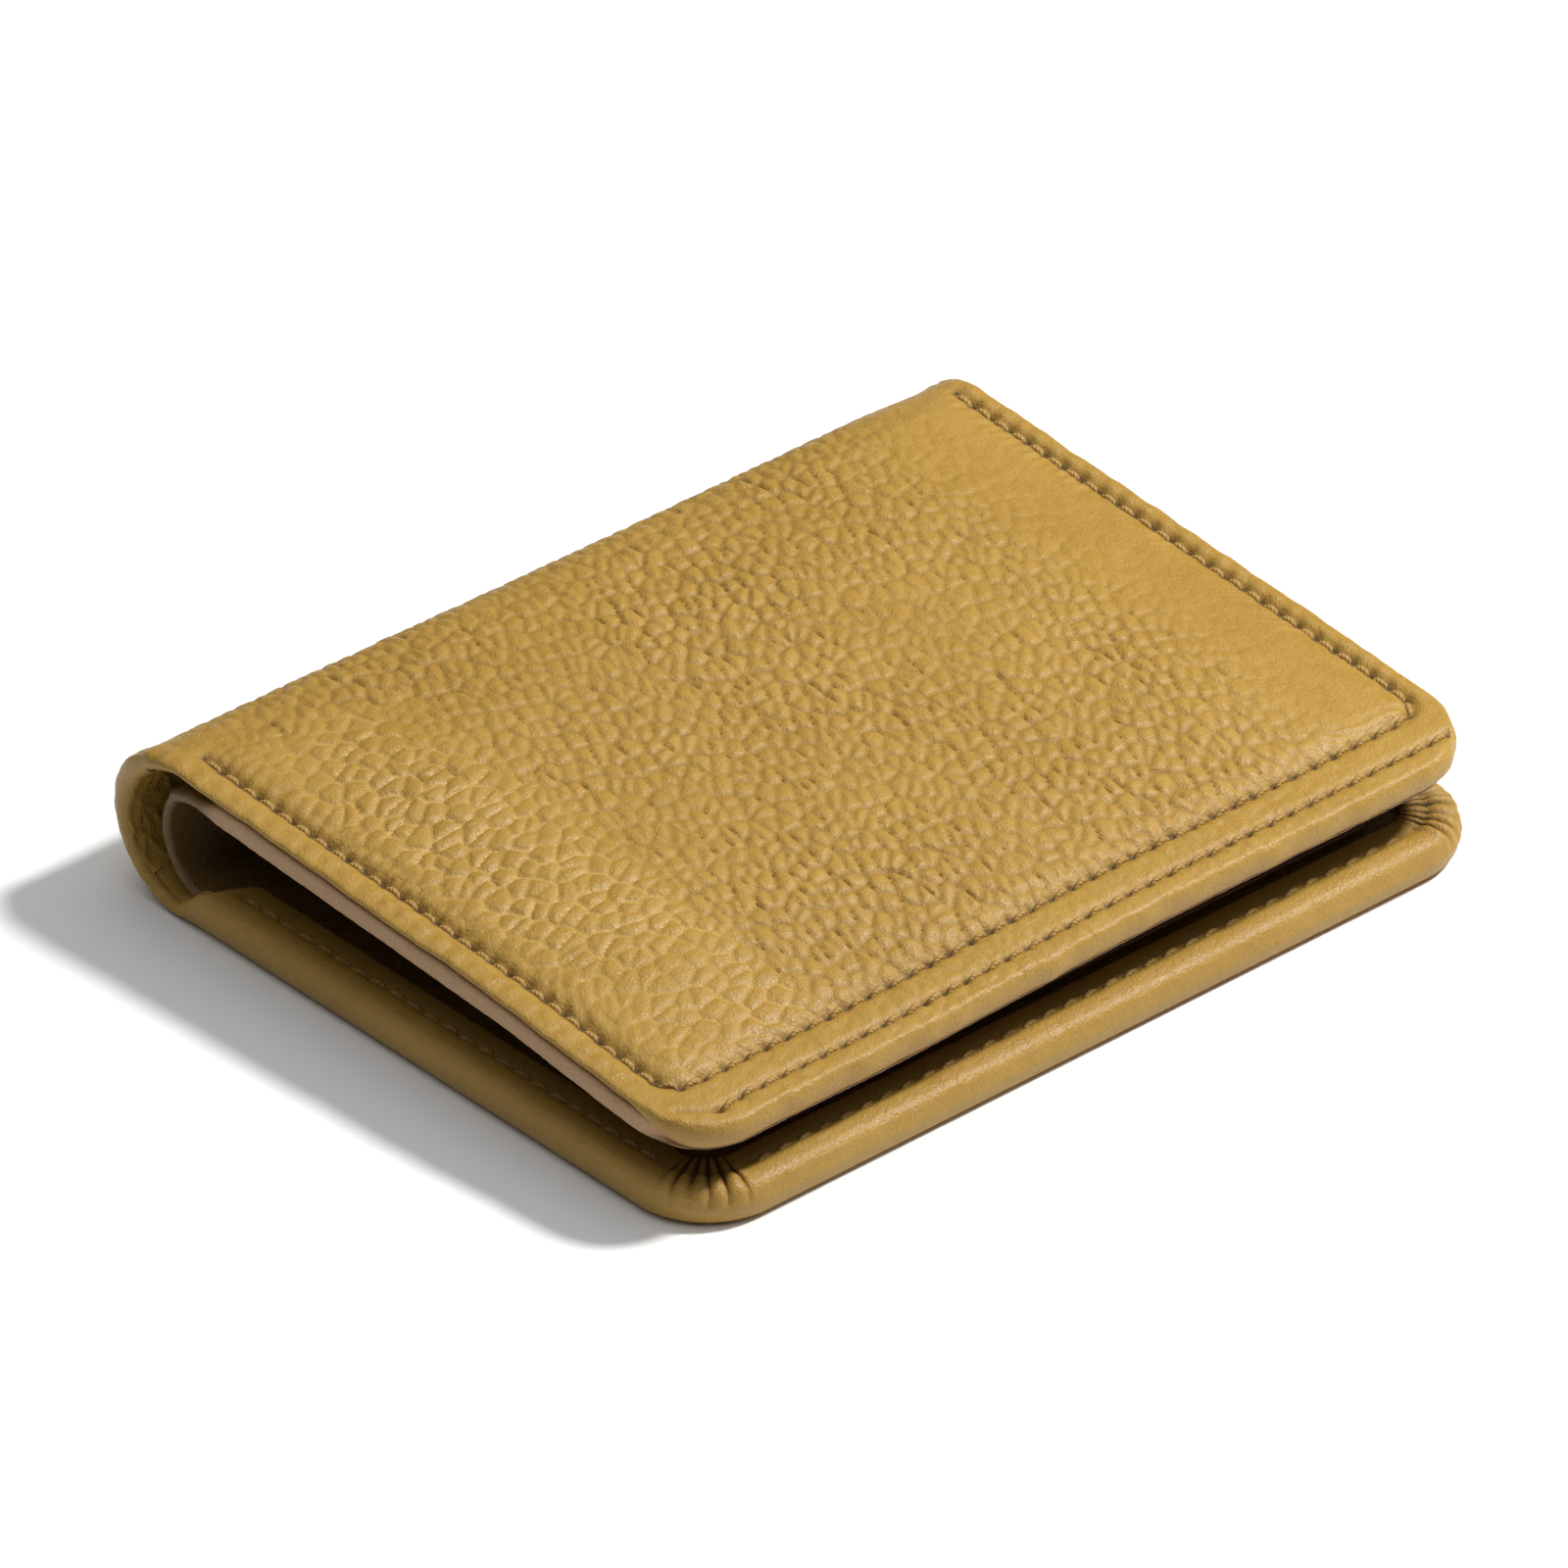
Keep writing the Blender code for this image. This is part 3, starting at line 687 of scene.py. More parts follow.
def scaled(colour, *factors):
    """The colour times one factor, or times one for each of red, green and blue."""
    return tuple(c * k for c, k in zip(colour, factors * 3 if len(factors) == 1 else factors))


def leather_material(name, light, dark, furrow_painted_shade, raw_colour, crease):
    """Leather whose grain is in its mesh: the stored tints colour it, and the nodes add patches, specks and
    the finest bump. Texture scales are per millimetre, and bump distances are in metres."""
    n = Nodes(bpy.data.materials.new(name))
    place = n.attribute("leather_place").outputs["Vector"]
    furrow = n.attribute("furrow").outputs["Fac"]
    raw = n.attribute("raw_edge").outputs["Fac"]
    warp = n.add("TexNoise", {"Vector": place, "Scale": 0.9, "Detail": 2.0}).outputs["Color"]
    bent = n.add("VectorMath", {0: warp, 1: (0.5, 0.5, 0.5)}, operation="SUBTRACT").outputs[0]
    bent = n.add("VectorMath", {0: bent, 1: (0.9, 0.9, 0.9), 2: place}, operation="MULTIPLY_ADD").outputs[0]
    # the finest creases and pores, which the mesh is too coarse for
    creases = {"Vector": bent, "Scale": 1.15, "Randomness": 1.0}
    fine = n.add("TexVoronoi", creases, feature="DISTANCE_TO_EDGE").outputs["Distance"]
    fine = n.spread(fine, 0.0, 0.14, 0.0, 1.0)
    pores = {"Vector": bent, "Scale": 3.4, "Randomness": 1.0}
    tiny = n.add("TexVoronoi", pores, feature="F1").outputs["Distance"]
    broad = n.noise(place, 0.045, 3.0)
    patchy = n.noise(place, 0.35, 4.0, 0.6)
    speck = n.noise(place, 2.2, 3.0, 0.6)
    fibre = n.noise(place, 7.0, 3.0, 0.65)
    # colour: patches, specks, painted shade in the furrows, a painted highlight on the pale ones where the
    # stored tint is below 0, and raw edges
    tone = n.math("ADD", n.math("MULTIPLY", broad, 0.55), n.math("MULTIPLY", patchy, 0.45))
    colour = n.mix(n.spread(tone, 0.36, 0.64, 0.15, 0.85), dark, light)
    for source, low, high, share, other in (
        (speck, 0.35, 0.7, 0.2, dark),
        (furrow, 0.1, 0.8, 0.45, furrow_painted_shade),
        (furrow, 0.78, 1.0, 0.75, scaled(furrow_painted_shade, 0.35)),
        (furrow, -0.1, -0.8, 0.55, scaled(light, 1.5, 1.7, 3.2)),
    ):
        colour = n.mix(n.spread(source, low, high, 0.0, share), colour, other)
    # the finest creases are darkened too, as painted shade
    colour = n.mix(n.spread(fine, 0.0, 1.0, 0.05 * crease, 0.0), colour, furrow_painted_shade)
    raw_tone = n.mix(n.spread(fibre, 0.35, 0.65, 0.0, 0.55), raw_colour, scaled(raw_colour, 0.66))
    colour = n.mix(raw, colour, raw_tone)
    rough = n.spread(furrow, 0.0, 1.0, 0.45, 0.72)
    rough = n.math("ADD", rough, n.spread(patchy, 0.3, 0.7, -0.05, 0.07))
    rough = n.math("ADD", rough, n.math("MULTIPLY", raw, 0.12))
    normal = n.bump(fine, 0.000016 * crease)
    normal = n.bump(tiny, 0.00004, normal)
    normal = n.bump(speck, 0.0001, normal)
    normal = n.bump(patchy, 0.0002, normal)
    normal = n.bump(fibre, 0.00001, normal)
    return n.finish(colour, rough, normal, shine=0.46)


def thread_material():
    n = Nodes(bpy.data.materials.new("mustard_thread_sewn"))
    place = n.attribute("leather_place").outputs["Vector"]
    twist = {"Vector": place, "Scale": 1.15, "Distortion": 0.6, "Detail": 1.0}
    ply = n.add("TexWave", twist, bands_direction="DIAGONAL").outputs["Fac"]
    fibre = n.noise(place, 9.0, 2.0)
    colour = n.mix(n.spread(ply, 0.0, 1.0, 0.0, 0.6), (0.39, 0.238, 0.062), (0.26, 0.15, 0.034))
    # pale fibre specks: painted highlights on the thread
    colour = n.mix(n.spread(fibre, 0.3, 0.7, 0.0, 0.35), colour, (0.49, 0.325, 0.115))
    rough = n.spread(fibre, 0.3, 0.7, 0.5, 0.75)
    normal = n.bump(ply, 0.00005)
    normal = n.bump(fibre, 0.00002, normal)
    return n.finish(colour, rough, normal, shine=0.35)


def board_material():
    n = Nodes(bpy.data.materials.new("stiffener_fibreboard"))
    place = n.add("TexCoord").outputs["Object"]
    fibre = n.noise(place, 900.0, 4.0, 0.7)
    broad = n.noise(place, 60.0, 3.0)
    colour = n.mix(n.spread(fibre, 0.3, 0.7, 0.0, 1.0), (0.36, 0.29, 0.21), (0.52, 0.45, 0.35))
    colour = n.mix(n.spread(broad, 0.35, 0.65, 0.0, 0.3), colour, (0.30, 0.24, 0.17))
    return n.finish(colour, n.spread(fibre, 0.3, 0.7, 0.78, 0.95), n.bump(fibre, 0.00005))


def foam_material():
    n = Nodes(bpy.data.materials.new("padding_open_cell_foam"))
    place = n.attribute("leather_place").outputs["Vector"]
    pores = n.add("TexVoronoi", {"Vector": place, "Scale": 2.2}, feature="F1").outputs["Distance"]
    broad = n.noise(place, 0.1, 3.0)
    colour = n.mix(n.spread(pores, 0.1, 0.6, 1.0, 0.0), (0.80, 0.75, 0.62), (0.55, 0.49, 0.36))
    colour = n.mix(n.spread(broad, 0.35, 0.65, 0.0, 0.25), colour, (0.70, 0.60, 0.40))
    return n.finish(colour, n.spread(pores, 0.0, 0.6, 0.85, 0.97), n.bump(pores, 0.00015))


def floor_material():
    n = Nodes(bpy.data.materials.new("studio_floor"))
    place = n.add("TexCoord").outputs["Object"]
    faint = n.noise(place, 3.0, 2.0)
    colour = n.mix(n.spread(faint, 0.3, 0.7, 0.0, 1.0), (0.90, 0.90, 0.90), (0.91, 0.91, 0.905))
    return n.finish(colour, n.spread(faint, 0.3, 0.7, 0.9, 0.95), n.bump(faint, 0.0), shine=0.1)


MUSTARD = leather_material(
    "mustard_pebbled_leather", light=(0.425, 0.252, 0.046), dark=(0.350, 0.198, 0.031),
    furrow_painted_shade=(0.13, 0.062, 0.008), raw_colour=(0.42, 0.25, 0.11), crease=1.0,
)
# the inner leather is the same mustard leather; its light, dark and furrow colours are darkened as painted
# shade for the hollow and the gap between the covers
INNER = leather_material(
    "inner_leather_painted_shade", light=(0.15, 0.085, 0.020), dark=(0.11, 0.058, 0.012),
    furrow_painted_shade=(0.05, 0.025, 0.005), raw_colour=(0.47, 0.285, 0.145), crease=0.7,
)
THREAD = thread_material()


def dress(obj, material, slot, *nodes):
    """Gives a piece its material, and lets it stand for these CAD nodes. slot is not used."""
    obj.data.materials.append(material)
    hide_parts(*nodes)


# ---- Shell leather

RIM = 0.8  # how far the shell's rolled edge stands out past its flat face
FINE = 0.335  # grid step of the grained faces that the photo shows


def face_of(relief, sign, depth):
    """A face at this depth that relief lifts: sign is 1 where up is deeper, or -1."""

    def face(x, s):
        lift, tint = relief(x, s)
        return depth + sign * lift, tint

    return face


def at_front(x, s):
    """1 along the top cover's free edge, where the leather is turned over the whole thickness."""
    return smooth((s - OUTER.bend - TOP_REACH + 11) / 8)


def top_leather():
    """The shell from the middle of spine strip 4 to the top cover's free edge."""

    def edge(x, s):
        return 0.85 + 2.45 * at_front(x, s) + 0.3 * smooth((OUTER.bend - s) / 3), 0.0, 0.45

    xs = spaced((-HALF + RIM, HALF - RIM), (FINE,))
    ss = spaced((4 * OUTER.strip, OUTER.s_top(TOP_REACH) - RIM), (FINE,))
    rim = lapped_rim(0.0, SHELL, RIM, edge, 0.13, 0.62)
    face = face_of(outer_relief, -1, 0.0)
    obj = skin("top_cover_leather", xs, ss, (None, CORNER - RIM), settled, face, rim)
    dress(obj, MUSTARD, "mustard_leather", "top_shell", "spine_shell_4")
    OUTER.at_strip(4)
    OUTER.at_strip(5)
    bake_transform(obj)


def round_spine(name, node, layer, half, step, face, back, rim, *look):
    """A layer round the spine: three pieces, each across one hinge line from strip middle to strip middle."""
    xs = spaced((-half, half), (step,))
    for number in (1, 2, 3):
        here, there = layer.at_strip(number), layer.at_strip(number + 1)
        ss = spaced((number * layer.strip, (number + 1) * layer.strip), (step,))
        obj = skin(f"{name}_{number}", xs, ss, (None, None), layer.put, face, rim, back)
        dress(obj, *look, f"{node}_{number}")
        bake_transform(obj)


def spine_leather():
    face, back = face_of(outer_relief, -1, 0.0), face_of(inner_side_relief, 1, SHELL)
    rim = rounded_rim(0.0, SHELL, RIM, 0.1, wave=0.05, mustard_share=0.35)
    look = (MUSTARD, "mustard_leather")
    round_spine("spine_leather", "spine_shell", OUTER, HALF - RIM, FINE, face, back, rim, *look)


# The round at the foot of the bottom cover's wall, and the one at its top
FOOT = 1.6
SHOULDER = 1.7
HALF_SHELL = SHELL / 2
HEM_LEAST = 1.4  # the hem's width where it meets the spine
PLEATS = 7.5  # folds round each corner


def corner_pleats(x, v):
    """Pleats that gather the leather round each corner: where they show, and how near a point is to a
    crest."""
    bend_x, bend_v = np.abs(x) - (HALF - CORNER), v - (BOTTOM_REACH - CORNER)
    angle = np.arctan2(np.maximum(bend_v, 0), np.maximum(bend_x, 1e-6))
    cornered = (bend_x > 0.3) & (bend_v > 0.3)
    share = np.where(cornered, angle / (math.pi / 2), 0.0)
    gather = smooth((share - 0.08) / 0.16) * smooth((0.94 - share) / 0.16) * cornered
    wobble = 0.45 * noise(share * 6 + np.sign(x) * 9, share * 0 + 3.5, 81)
    return gather, np.abs(np.sin(math.pi * (PLEATS * share + wobble)))


def hem_rim(x, v, face_depth):
    """The bottom cover's wall: up from the underside, over the rim and in as a hem, low where it meets the
    spine."""
    rise = smooth((v + 1.0) / 5.0)
    height = SHELL + (HEM_TOP - SHELL) * rise
    width = HEM_LEAST + (HEM_WIDTH - HEM_LEAST) * smooth((v - 3.6) / 3.2)
    foot = HALF_SHELL + (FOOT - HALF_SHELL) * rise
    shoulder = HALF_SHELL + (SHOULDER - HALF_SHELL) * rise
    under = np.minimum(HEM_UNDER, height - 0.35)
    under = np.where(width < 1.6, np.minimum(under, SHELL + 0.1), under)
    gather, fold = corner_pleats(x, v)
    # between: the folds between the pleats' crests, which the tint darkens as painted shade
    between = gather * (1 - fold)
    pleat = gather * (fold**0.55 - 0.75)
    long_wave = noise((x + v) / 9, (x - v) / 9, 82) + 0.5 * noise((x + v) / 1.5, (x - v) / 1.5, 83)
    uneven = 0.05 * long_wave * rise
    steps = []

    def step(inset, depth, tint=0.0, raw=0.0, pleats=0.0, push=(0.0, 1.0)):
        """push is the way that a pleat lifts the profile here: out and up."""
        lift = pleats * pleat
        settle = face_depth * max(0.0, 1 - (len(steps) + 1) / 4) ** 2
        steps.append((FOOT - inset + push[0] * lift, depth + push[1] * lift + settle, tint, raw))

    # round the foot, up the wall and over the shoulder
    for t in (0.25, 0.5, 0.75, 1.0):
        turn = t * math.pi / 2
        step(FOOT * (1 - math.sin(turn)), foot * (1 - math.cos(turn)))
    for t in (0.3, 0.55, 0.8):
        depth = foot + (height - shoulder - foot) * t
        belly = 0.22 * math.sin(math.pi * t) * rise + 0.06 * long_wave * rise
        step(-belly, depth, pleats=0.28 * t * t, push=(1, 0))
    for t in (0.0, 0.2, 0.4, 0.6, 0.8, 1.0):
        turn = t * math.pi / 2
        inset, depth = shoulder * (1 - math.cos(turn)), height - shoulder * (1 - math.sin(turn)) + uneven
        step(inset, depth, between * t, 0.0, 0.3 + 0.5 * t, (math.cos(turn), math.sin(turn)))
    # in along the hem, past the sewn row
    for t in np.linspace(0.08, 1.0, 14):
        inset = shoulder + (width - 0.35 - shoulder) * t
        seam = hump((inset - HEM_ROW) / 0.6) * smooth((v - 5) / 2)
        swell = 0.14 * hump((inset - 2.9) / 1.1) * rise
        # painted shade: the flap inside the sewn row is darkened where the top cover shades it, and the
        # seam's furrow is darkened too
        flap_painted_shade = 0.35 * smooth((inset - HEM_ROW + 0.8) / 1.6)
        depth = height - 0.30 * seam + swell + uneven
        step(inset, depth, flap_painted_shade + 0.4 * seam + between * 1.2, 0.0, 0.8 - 0.3 * t)
    # over the hem's raw edge, and back under it to the shell's inner face
    step(width - 0.1, height - 0.16, between, 0.3, 0.4)
    step(width, height - 0.5, 0.0, 0.9, 0.2)
    step(width - 0.05, np.maximum(under + 0.05, height - 1.05), 0.0, 0.9)
    step(1.55 + 0.4 * (width - 1.4) / 5, under)
    step(1.42, np.minimum(under, SHELL + 0.12))
    step(1.6, SHELL)
    return steps


def bottom_relief(x, s):
    """The underside: the same grain, pressed flatter."""
    edge = inset_of(x, -s, HALF, BOTTOM_REACH, CORNER)
    height, furrow = grain(x, s, 0 * x)
    flat = 0.5 * smooth(edge / 6)
    rise = smooth(s / 3)
    lift = spine_bulge(x, s) + height * (flat * (1 - rise) + 0.6 * rise)
    lift = np.where(s < 0, np.minimum(lift, 0.0), lift)
    return lift, furrow * np.maximum(flat, 0.6 * rise)


def bottom_leather():
    """Laid out by x and v. The grid is finer in the outer 11 mm, where the pleats are."""
    outer, plain, bend = 0.26, 0.5, 0.4
    xs = spaced((-HALF + FOOT, -HALF + 11, HALF - 11, HALF - FOOT), (outer, plain, outer))
    vs = spaced((-OUTER.strip, 0, 11, BOTTOM_REACH - 11, BOTTOM_REACH - FOOT), (bend, 0.35, plain, outer))

    def face(x, v):
        lift, tint = bottom_relief(x, -v)
        return -lift, tint

    obj = skin("bottom_cover_leather", xs, vs, (None, CORNER - FOOT), cover_put("bottom"), face, hem_rim)
    dress(obj, MUSTARD, "mustard_leather", "bottom_shell", "bottom_turned_edge")
    OUTER.at_strip(0)
    OUTER.at_strip(1)
    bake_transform(obj)


# ---- Inner leather


# How far the inner leather is set back from the shell's edge, and its own round edge
LINING_GAP = 0.15
LOW_LINING_GAP = 1.3 + LINING_GAP  # on the spine and on the bottom cover, behind the hem
LINING_RIM = 0.5
LINING_HALF = HALF - LINING_GAP - LINING_RIM
LOW_LINING_HALF = HALF - LOW_LINING_GAP - LINING_RIM
LOW_LINING_RIM = rounded_rim(PANEL, 0.0, LINING_RIM, 0.0, wave=0.05)


def to_outer(s):
    """The shell's s over a point of the top cover's lining."""
    return s - LINER.bend + LINER.top_tangent + OUTER.bend


def on_cover(s):
    """0 on the spine's lining and 1 on the top cover's."""
    return smooth((s - LINER.bend) / 4)


def top_lining():
    """The inner leather from strip 4 to the free edge, where it is drawn in under the shell. Its edge is
    raw."""

    def put(x, s, d):
        there = settled(x, to_outer(s), d + PANEL_DEPTH_TOP)
        return np.where((s > LINER.bend)[:, None], there, LINER.put(x, s, d))

    def face(x, s):
        lift, tint = panel_relief(x, s)
        inside = inset_of(x, to_outer(s) - OUTER.bend, HALF, TOP_REACH, CORNER)
        return PANEL + lift + 0.5 * smooth((4 - inside) / 2.5) * on_cover(s), tint

    def edge(x, s):
        front = at_front(x, to_outer(s))
        return -0.8 * on_cover(s) * (1 - front), 1.7 * front, on_cover(s)

    rim = lapped_rim(PANEL, 0.0, 0.85, edge, 0.07, 0.0, blunt=0.45)
    xs = spaced((-LINING_HALF, LINING_HALF), (0.5,))
    ss = spaced((4 * LINER.strip, LINER.s_top(TOP_REACH - LINING_GAP) - LINING_RIM), (0.5,))
    obj = skin("top_cover_lining", xs, ss, (None, CORNER - LINING_RIM), put, face, rim)
    dress(obj, INNER, "inner_leather", "top_inner_panel", "spine_liner_4")
    LINER.at_strip(4)
    LINER.at_strip(5)
    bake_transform(obj)


def spine_linings():
    face, back = face_of(panel_relief, 1, PANEL), face_of(inner_side_relief, -1, 0.0)
    look = (INNER, "inner_leather")
    round_spine("spine_lining", "spine_liner", LINER, LOW_LINING_HALF, 0.4, face, back, LOW_LINING_RIM, *look)


def bottom_lining():
    xs = spaced((-LOW_LINING_HALF, LOW_LINING_HALF), (0.5,))
    vs = spaced((-LINER.strip, BOTTOM_REACH - LINER_TANGENT - LOW_LINING_GAP - LINING_RIM), (0.5,))
    corner = CORNER - LOW_LINING_GAP - LINING_RIM
    face = face_of(panel_relief, 1, PANEL)
    put = cover_put("bottom", LINER)
    obj = skin("bottom_cover_lining", xs, vs, (None, corner), put, face, LOW_LINING_RIM)
    dress(obj, INNER, "inner_leather", "bottom_inner_panel")
    LINER.at_strip(0)
    LINER.at_strip(1)
    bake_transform(obj)


# ---- Card pockets


def cover_put(side, layer=OUTER):
    """The mapping from x, v and depth to the point in mm. v is the distance from the spine's bend."""
    return lambda x, v, d: layer.put(x, layer.s_top(v) if side == "top" else -v, d)


def pocket_depth(side, which):
    """How deep a pocket's hidden face lies below the shell's outer face. The front pocket lies on the rear
    one."""
    rear = (PANEL_DEPTH_TOP if side == "top" else PANEL_DEPTH_BOTTOM) + PANEL + POCKET_GAP
    return rear if which == "rear" else rear + POCKET + POCKET_GAP


def pocket_relief(mouth, grain_at):
    """A pocket's face: turned over and creased at its mouth, and pressed in along its sewn row."""

    def relief(x, v):
        lift, tint = panel_relief(x + grain_at, v)
        fold = v - mouth
        side_seam = np.abs(np.abs(x) - (POCKET_HALF - POCKET_SEAM))
        seam = np.minimum(side_seam, np.abs(v - (POCKET_END - POCKET_SEAM)))
        lift = 0.8 * lift + 0.10 * hump((fold - 0.9) / 0.8) - 0.09 * hump((fold - 2.6) / 0.35)
        lift -= 0.10 * hump(seam / 0.5)
        return lift, np.clip(tint + 0.5 * hump((fold - 2.6) / 0.3) + 0.25 * hump(seam / 0.5), 0, 1)

    return relief


def card_pockets():
    """Two stepped pockets on each cover's inner face."""
    edge = 0.3
    corner = POCKET_CORNER - edge
    xs = spaced((-POCKET_HALF + edge, POCKET_HALF - edge), (0.5,))
    for side, body in (("bottom", "bottom_cover"), ("top", "top_cover")):
        for which, mouth in POCKET_MOUTHS.items():
            low = pocket_depth(side, which)
            high = low + POCKET
            vs = spaced((mouth + edge, POCKET_END - edge), (0.45,))
            face = face_of(pocket_relief(mouth, GRAIN_AT[which]), 1, high)
            rim = rounded_rim(high, low, edge, 0.7, 0.03, 5)
            name = f"{side}_{which}_pocket_leather"
            obj = skin(name, xs, vs, (corner, corner), cover_put(side), face, rim)
            dress(obj, INNER, "inner_leather", f"{side}_{which}_card_pocket")
            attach(obj, body)


def foam_pad():
    """The thin padding between the top cover's shell and its lining."""
    low, high = SHELL + 0.05, PANEL_DEPTH_TOP - 0.075
    edge = 0.12
    corner = 2.0 - edge

    def relief(x, v):
        return 0.9 * puff(x, v) + 0.02 * noise(x / 2, v / 2, 91), 0.3 + 0.2 * noise(x / 3, v / 3, 92)

    xs = spaced((-HALF + 9 + edge, HALF - 9 - edge), (1.0,))
    vs = spaced((9 + edge, TOP_REACH - 14.0 - edge), (1.0,))
    face, rim = face_of(relief, -1, low), rounded_rim(low, high, edge, 0.0, 0.0, 4)
    obj = skin("top_cover_foam_pad", xs, vs, (corner, corner), cover_put("top"), face, rim)
    dress(obj, foam_material(), "padding_foam", "top_padding")
    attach(obj, "top_cover")


# ---- Stitching

THREAD_RADIUS = 0.34
POCKET_THREAD_RADIUS = 0.2
THREAD_SIDES = 8
THREAD_RINGS = 9
SLANT = 0.2  # how far each stitch's ends lie to the two sides of its row


def tube_faces(count):
    """The faces of count closed tubes, each of THREAD_RINGS rings of THREAD_SIDES points."""
    index = np.arange(count * THREAD_RINGS * THREAD_SIDES).reshape(count, THREAD_RINGS, THREAD_SIDES)
    low, high = index[:, :-1], index[:, 1:]
    walls = np.stack((low, np.roll(low, -1, 2), np.roll(high, -1, 2), high), axis=-1).reshape(-1, 4)
    return walls.tolist() + index[:, 0, ::-1].tolist() + index[:, -1].tolist()


def sewn_row(name, holes, put, surface, side, node, body, radius=THREAD_RADIUS):
    """One thread seen between needle holes: each stitch comes up out of one hole, lies slightly slanted
    along the leather and goes down the next. surface(x, v) is the leather's depth; side is 1 if up is
    deeper, or -1."""
    t = np.arange(THREAD_RINGS) / (THREAD_RINGS - 1)
    arch = np.sin(math.pi * t) ** 0.5
    a, b = holes[:-1][:, None], holes[1:][:, None]
    length = np.hypot(*(b - a)[:, 0].T)
    # the hem's row is broken at the pleated corners
    kept = length < 1.6 * PITCH
    a, b, length = a[kept], b[kept], length[kept]
    along = (b - a) / length[:, None, None]
    across = np.stack((-along[..., 1], along[..., 0]), axis=-1)
    number = np.arange(len(a), dtype=float)
    jog = 0.12 * (lattice(number, 0 * number + 7, 95) - 0.5)
    fat = 0.9 + 0.25 * lattice(number, 0 * number + 8, 96)
    aside = SLANT * (1 - 2 * t)[None, :, None] + jog[:, None, None]
    middle = a + (b - a) * (0.05 + 0.9 * t)[None, :, None] + across * aside
    top = surface(middle[..., 0].ravel(), middle[..., 1].ravel()).reshape(middle.shape[:2])
    top = top + side * radius * (-1.6 + 1.95 * arch)
    turns = np.arange(THREAD_SIDES) * 2 * math.pi / THREAD_SIDES
    r = (radius * (0.6 + 0.4 * arch))[None, :, None] * fat[:, None, None]
    out = middle[:, :, None] + across[:, :, None] * (r * np.cos(turns))[..., None]
    deep = top[..., None] + side * r * np.sin(turns)
    points = put(out[..., 0].ravel(), out[..., 1].ravel(), deep.ravel())
    # each stitch has its own place in the thread's twist
    which = number[:, None, None]
    lengthways = which * 1.7 + t[None, :, None] * length[:, None, None]
    places = np.broadcast_arrays(lengthways, turns * radius, which * 0.31)
    places = np.stack(places, axis=-1).reshape(-1, 3)
    flat = np.zeros(len(points))
    obj = make_object(name, points, tube_faces(len(a)), places, flat, flat)
    dress(obj, THREAD, "mustard_thread", node)
    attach(obj, body)


def stitching():
    """Every sewn row, each a little sunk in its leather. The border row sinks deepest where it runs down
    the sides."""

    def top(x, v, d):
        return settled(x, OUTER.s_top(v), d)

    def shell_face(x, v):
        sunk = 0.15 * smooth((np.abs(x - ROW_SHIFT) - (HALF - END_ROW - 2)) / 2)
        return -outer_relief(x, OUTER.s_top(v))[0] - 0.12 + sunk

    def hem_face(x, v):
        return np.full(x.shape, HEM_TOP - 0.17)

    sewn_row("border_stitches", BORDER_HOLES, top, shell_face, -1, "top_border_stitching", "top_cover")
    node = "top_free_edge_stitching"
    sewn_row("free_edge_stitches", FREE_EDGE_HOLES, top, shell_face, -1, node, "top_cover")
    put, node = cover_put("bottom"), "bottom_edge_stitching"
    sewn_row("hem_stitches", HEM_HOLES, put, hem_face, 1, node, "bottom_cover")
    for side, body in (("bottom", "bottom_cover"), ("top", "top_cover")):

        def pocket_face(x, v, side=side):
            rear, front = (pocket_depth(side, which) for which in ("rear", "front"))
            return np.where(v > POCKET_MOUTHS["front"] - PITCH / 2, front, rear) + POCKET - 0.05

        name, node, put = f"{side}_pocket_stitches", f"{side}_pocket_stitching", cover_put(side)
        sewn_row(name, POCKET_HOLES, put, pocket_face, 1, node, body, POCKET_THREAD_RADIUS)


# ---- Studio


def studio_floor():
    """The studio's floor, not part of the wallet, like the light and the camera."""
    size = 12.0
    corners = [(-size, -size, 0), (size, -size, 0), (size, size, 0), (-size, size, 0)]
    mesh = bpy.data.meshes.new("studio_floor")
    mesh.from_pydata(corners, [], [(0, 1, 2, 3)])
    floor = in_scene("studio_floor", mesh)
    mesh.materials.append(floor_material())
    # just under the grain's lowest point
    floor.location.z = -0.00012


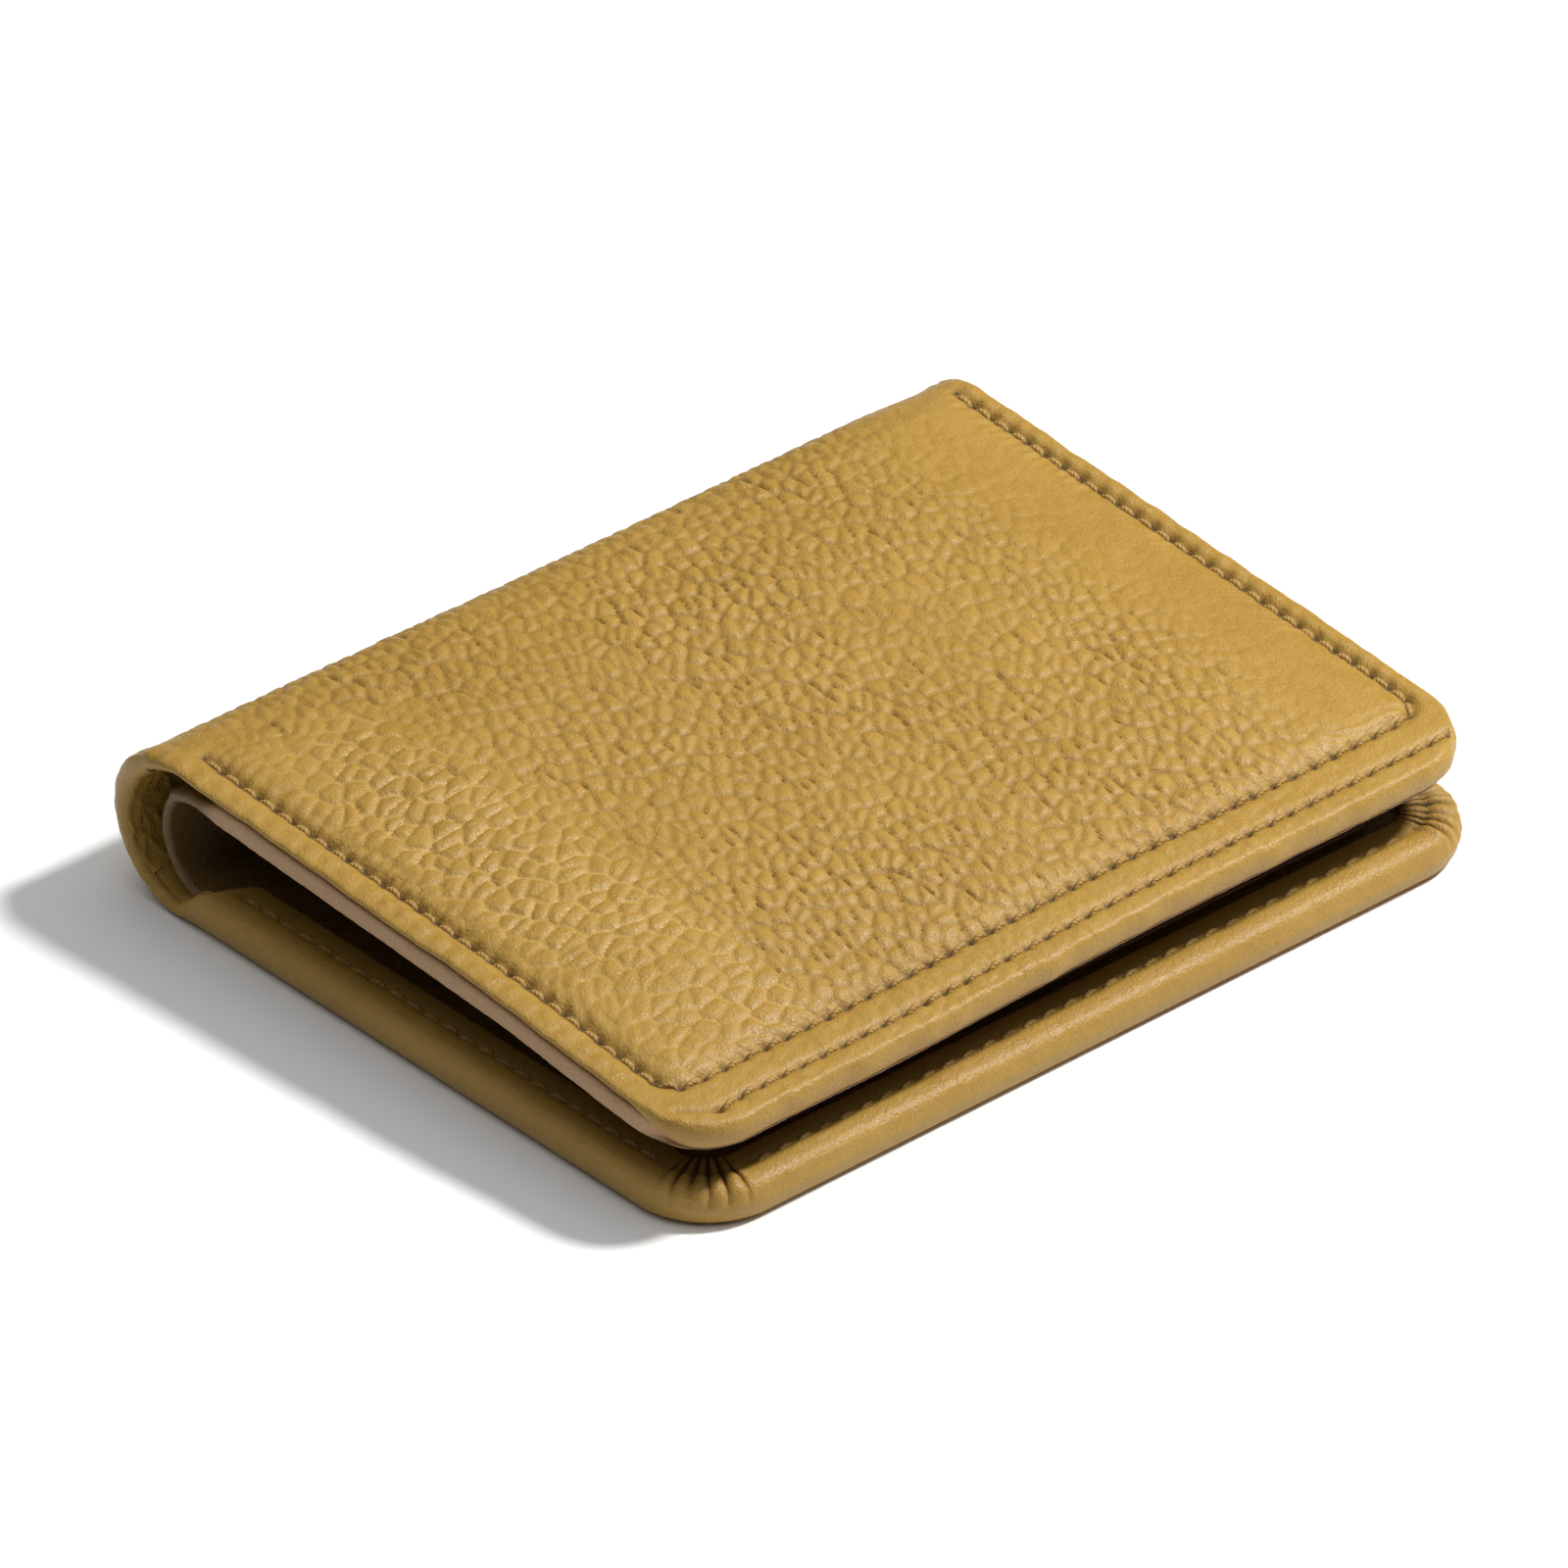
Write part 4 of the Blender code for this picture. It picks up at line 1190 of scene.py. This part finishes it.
def key_light():
    """A small lamp on the right, high up, as the photo's shadow shows."""
    lamp = bpy.data.lights.new("key", "AREA")
    lamp.shape = "DISK"
    lamp.size = 0.123
    lamp.energy = 7.35
    lamp.color = (1.0, 0.985, 0.96)
    key = in_scene("key", lamp)
    towards = Vector((0.512, -0.313, 0.799)).normalized()
    key.location = 0.8 * towards
    key.rotation_mode = "QUATERNION"
    key.rotation_quaternion = towards.to_track_quat("Z", "Y")


def soft_world():
    """Soft white light, much stronger from overhead than from the sides."""
    n = Nodes(bpy.data.worlds.new("soft_white"))
    direction = n.add("TexCoord").outputs["Generated"]
    up = n.add("SeparateXYZ", {0: direction}).outputs["Z"]
    up = n.add("Math", {0: up, 1: 4.0}, operation="POWER", use_clamp=True).outputs[0]
    glow = n.add("MapRange", {0: up, 3: 0.02, 4: 1.4}).outputs[0]
    sky = n.tree.nodes["Background"].inputs
    n.set(sky["Strength"], glow)
    n.set(sky["Color"], (0.97, 0.985, 1.0))
    bpy.context.scene.world = n.owner
    bpy.context.scene.view_settings.view_transform = "Standard"


def photo_camera():
    """The camera that was fitted to the photo: a very long lens, from the front left and above."""
    camera = bpy.data.cameras.new("camera")
    camera.sensor_width = 36.0
    camera.lens = 726.0
    camera.clip_start = 0.1
    camera.clip_end = 20.0
    holder = in_scene("camera", camera)
    azimuth, elevation = math.radians(-41.71), math.radians(33.53)
    level = math.cos(elevation)
    back = Vector((math.sin(azimuth) * level, -math.cos(azimuth) * level, math.sin(elevation)))
    holder.rotation_mode = "QUATERNION"
    holder.rotation_quaternion = (-back).to_track_quat("-Z", "Y")
    holder.location = Vector((0.000589, 0.004637, 0.008)) + 3.398 * back
    bpy.context.scene.camera = holder


def stiffener():
    """The board is hidden in the bottom cover, so it keeps its CAD mesh and only gets a material."""
    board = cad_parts["bottom_stiffener"]
    board.data.materials.clear()
    board.data.materials.append(board_material())


top_leather()
spine_leather()
bottom_leather()
top_lining()
spine_linings()
bottom_lining()
card_pockets()
foam_pad()
stitching()
stiffener()
studio_floor()
key_light()
soft_world()
photo_camera()
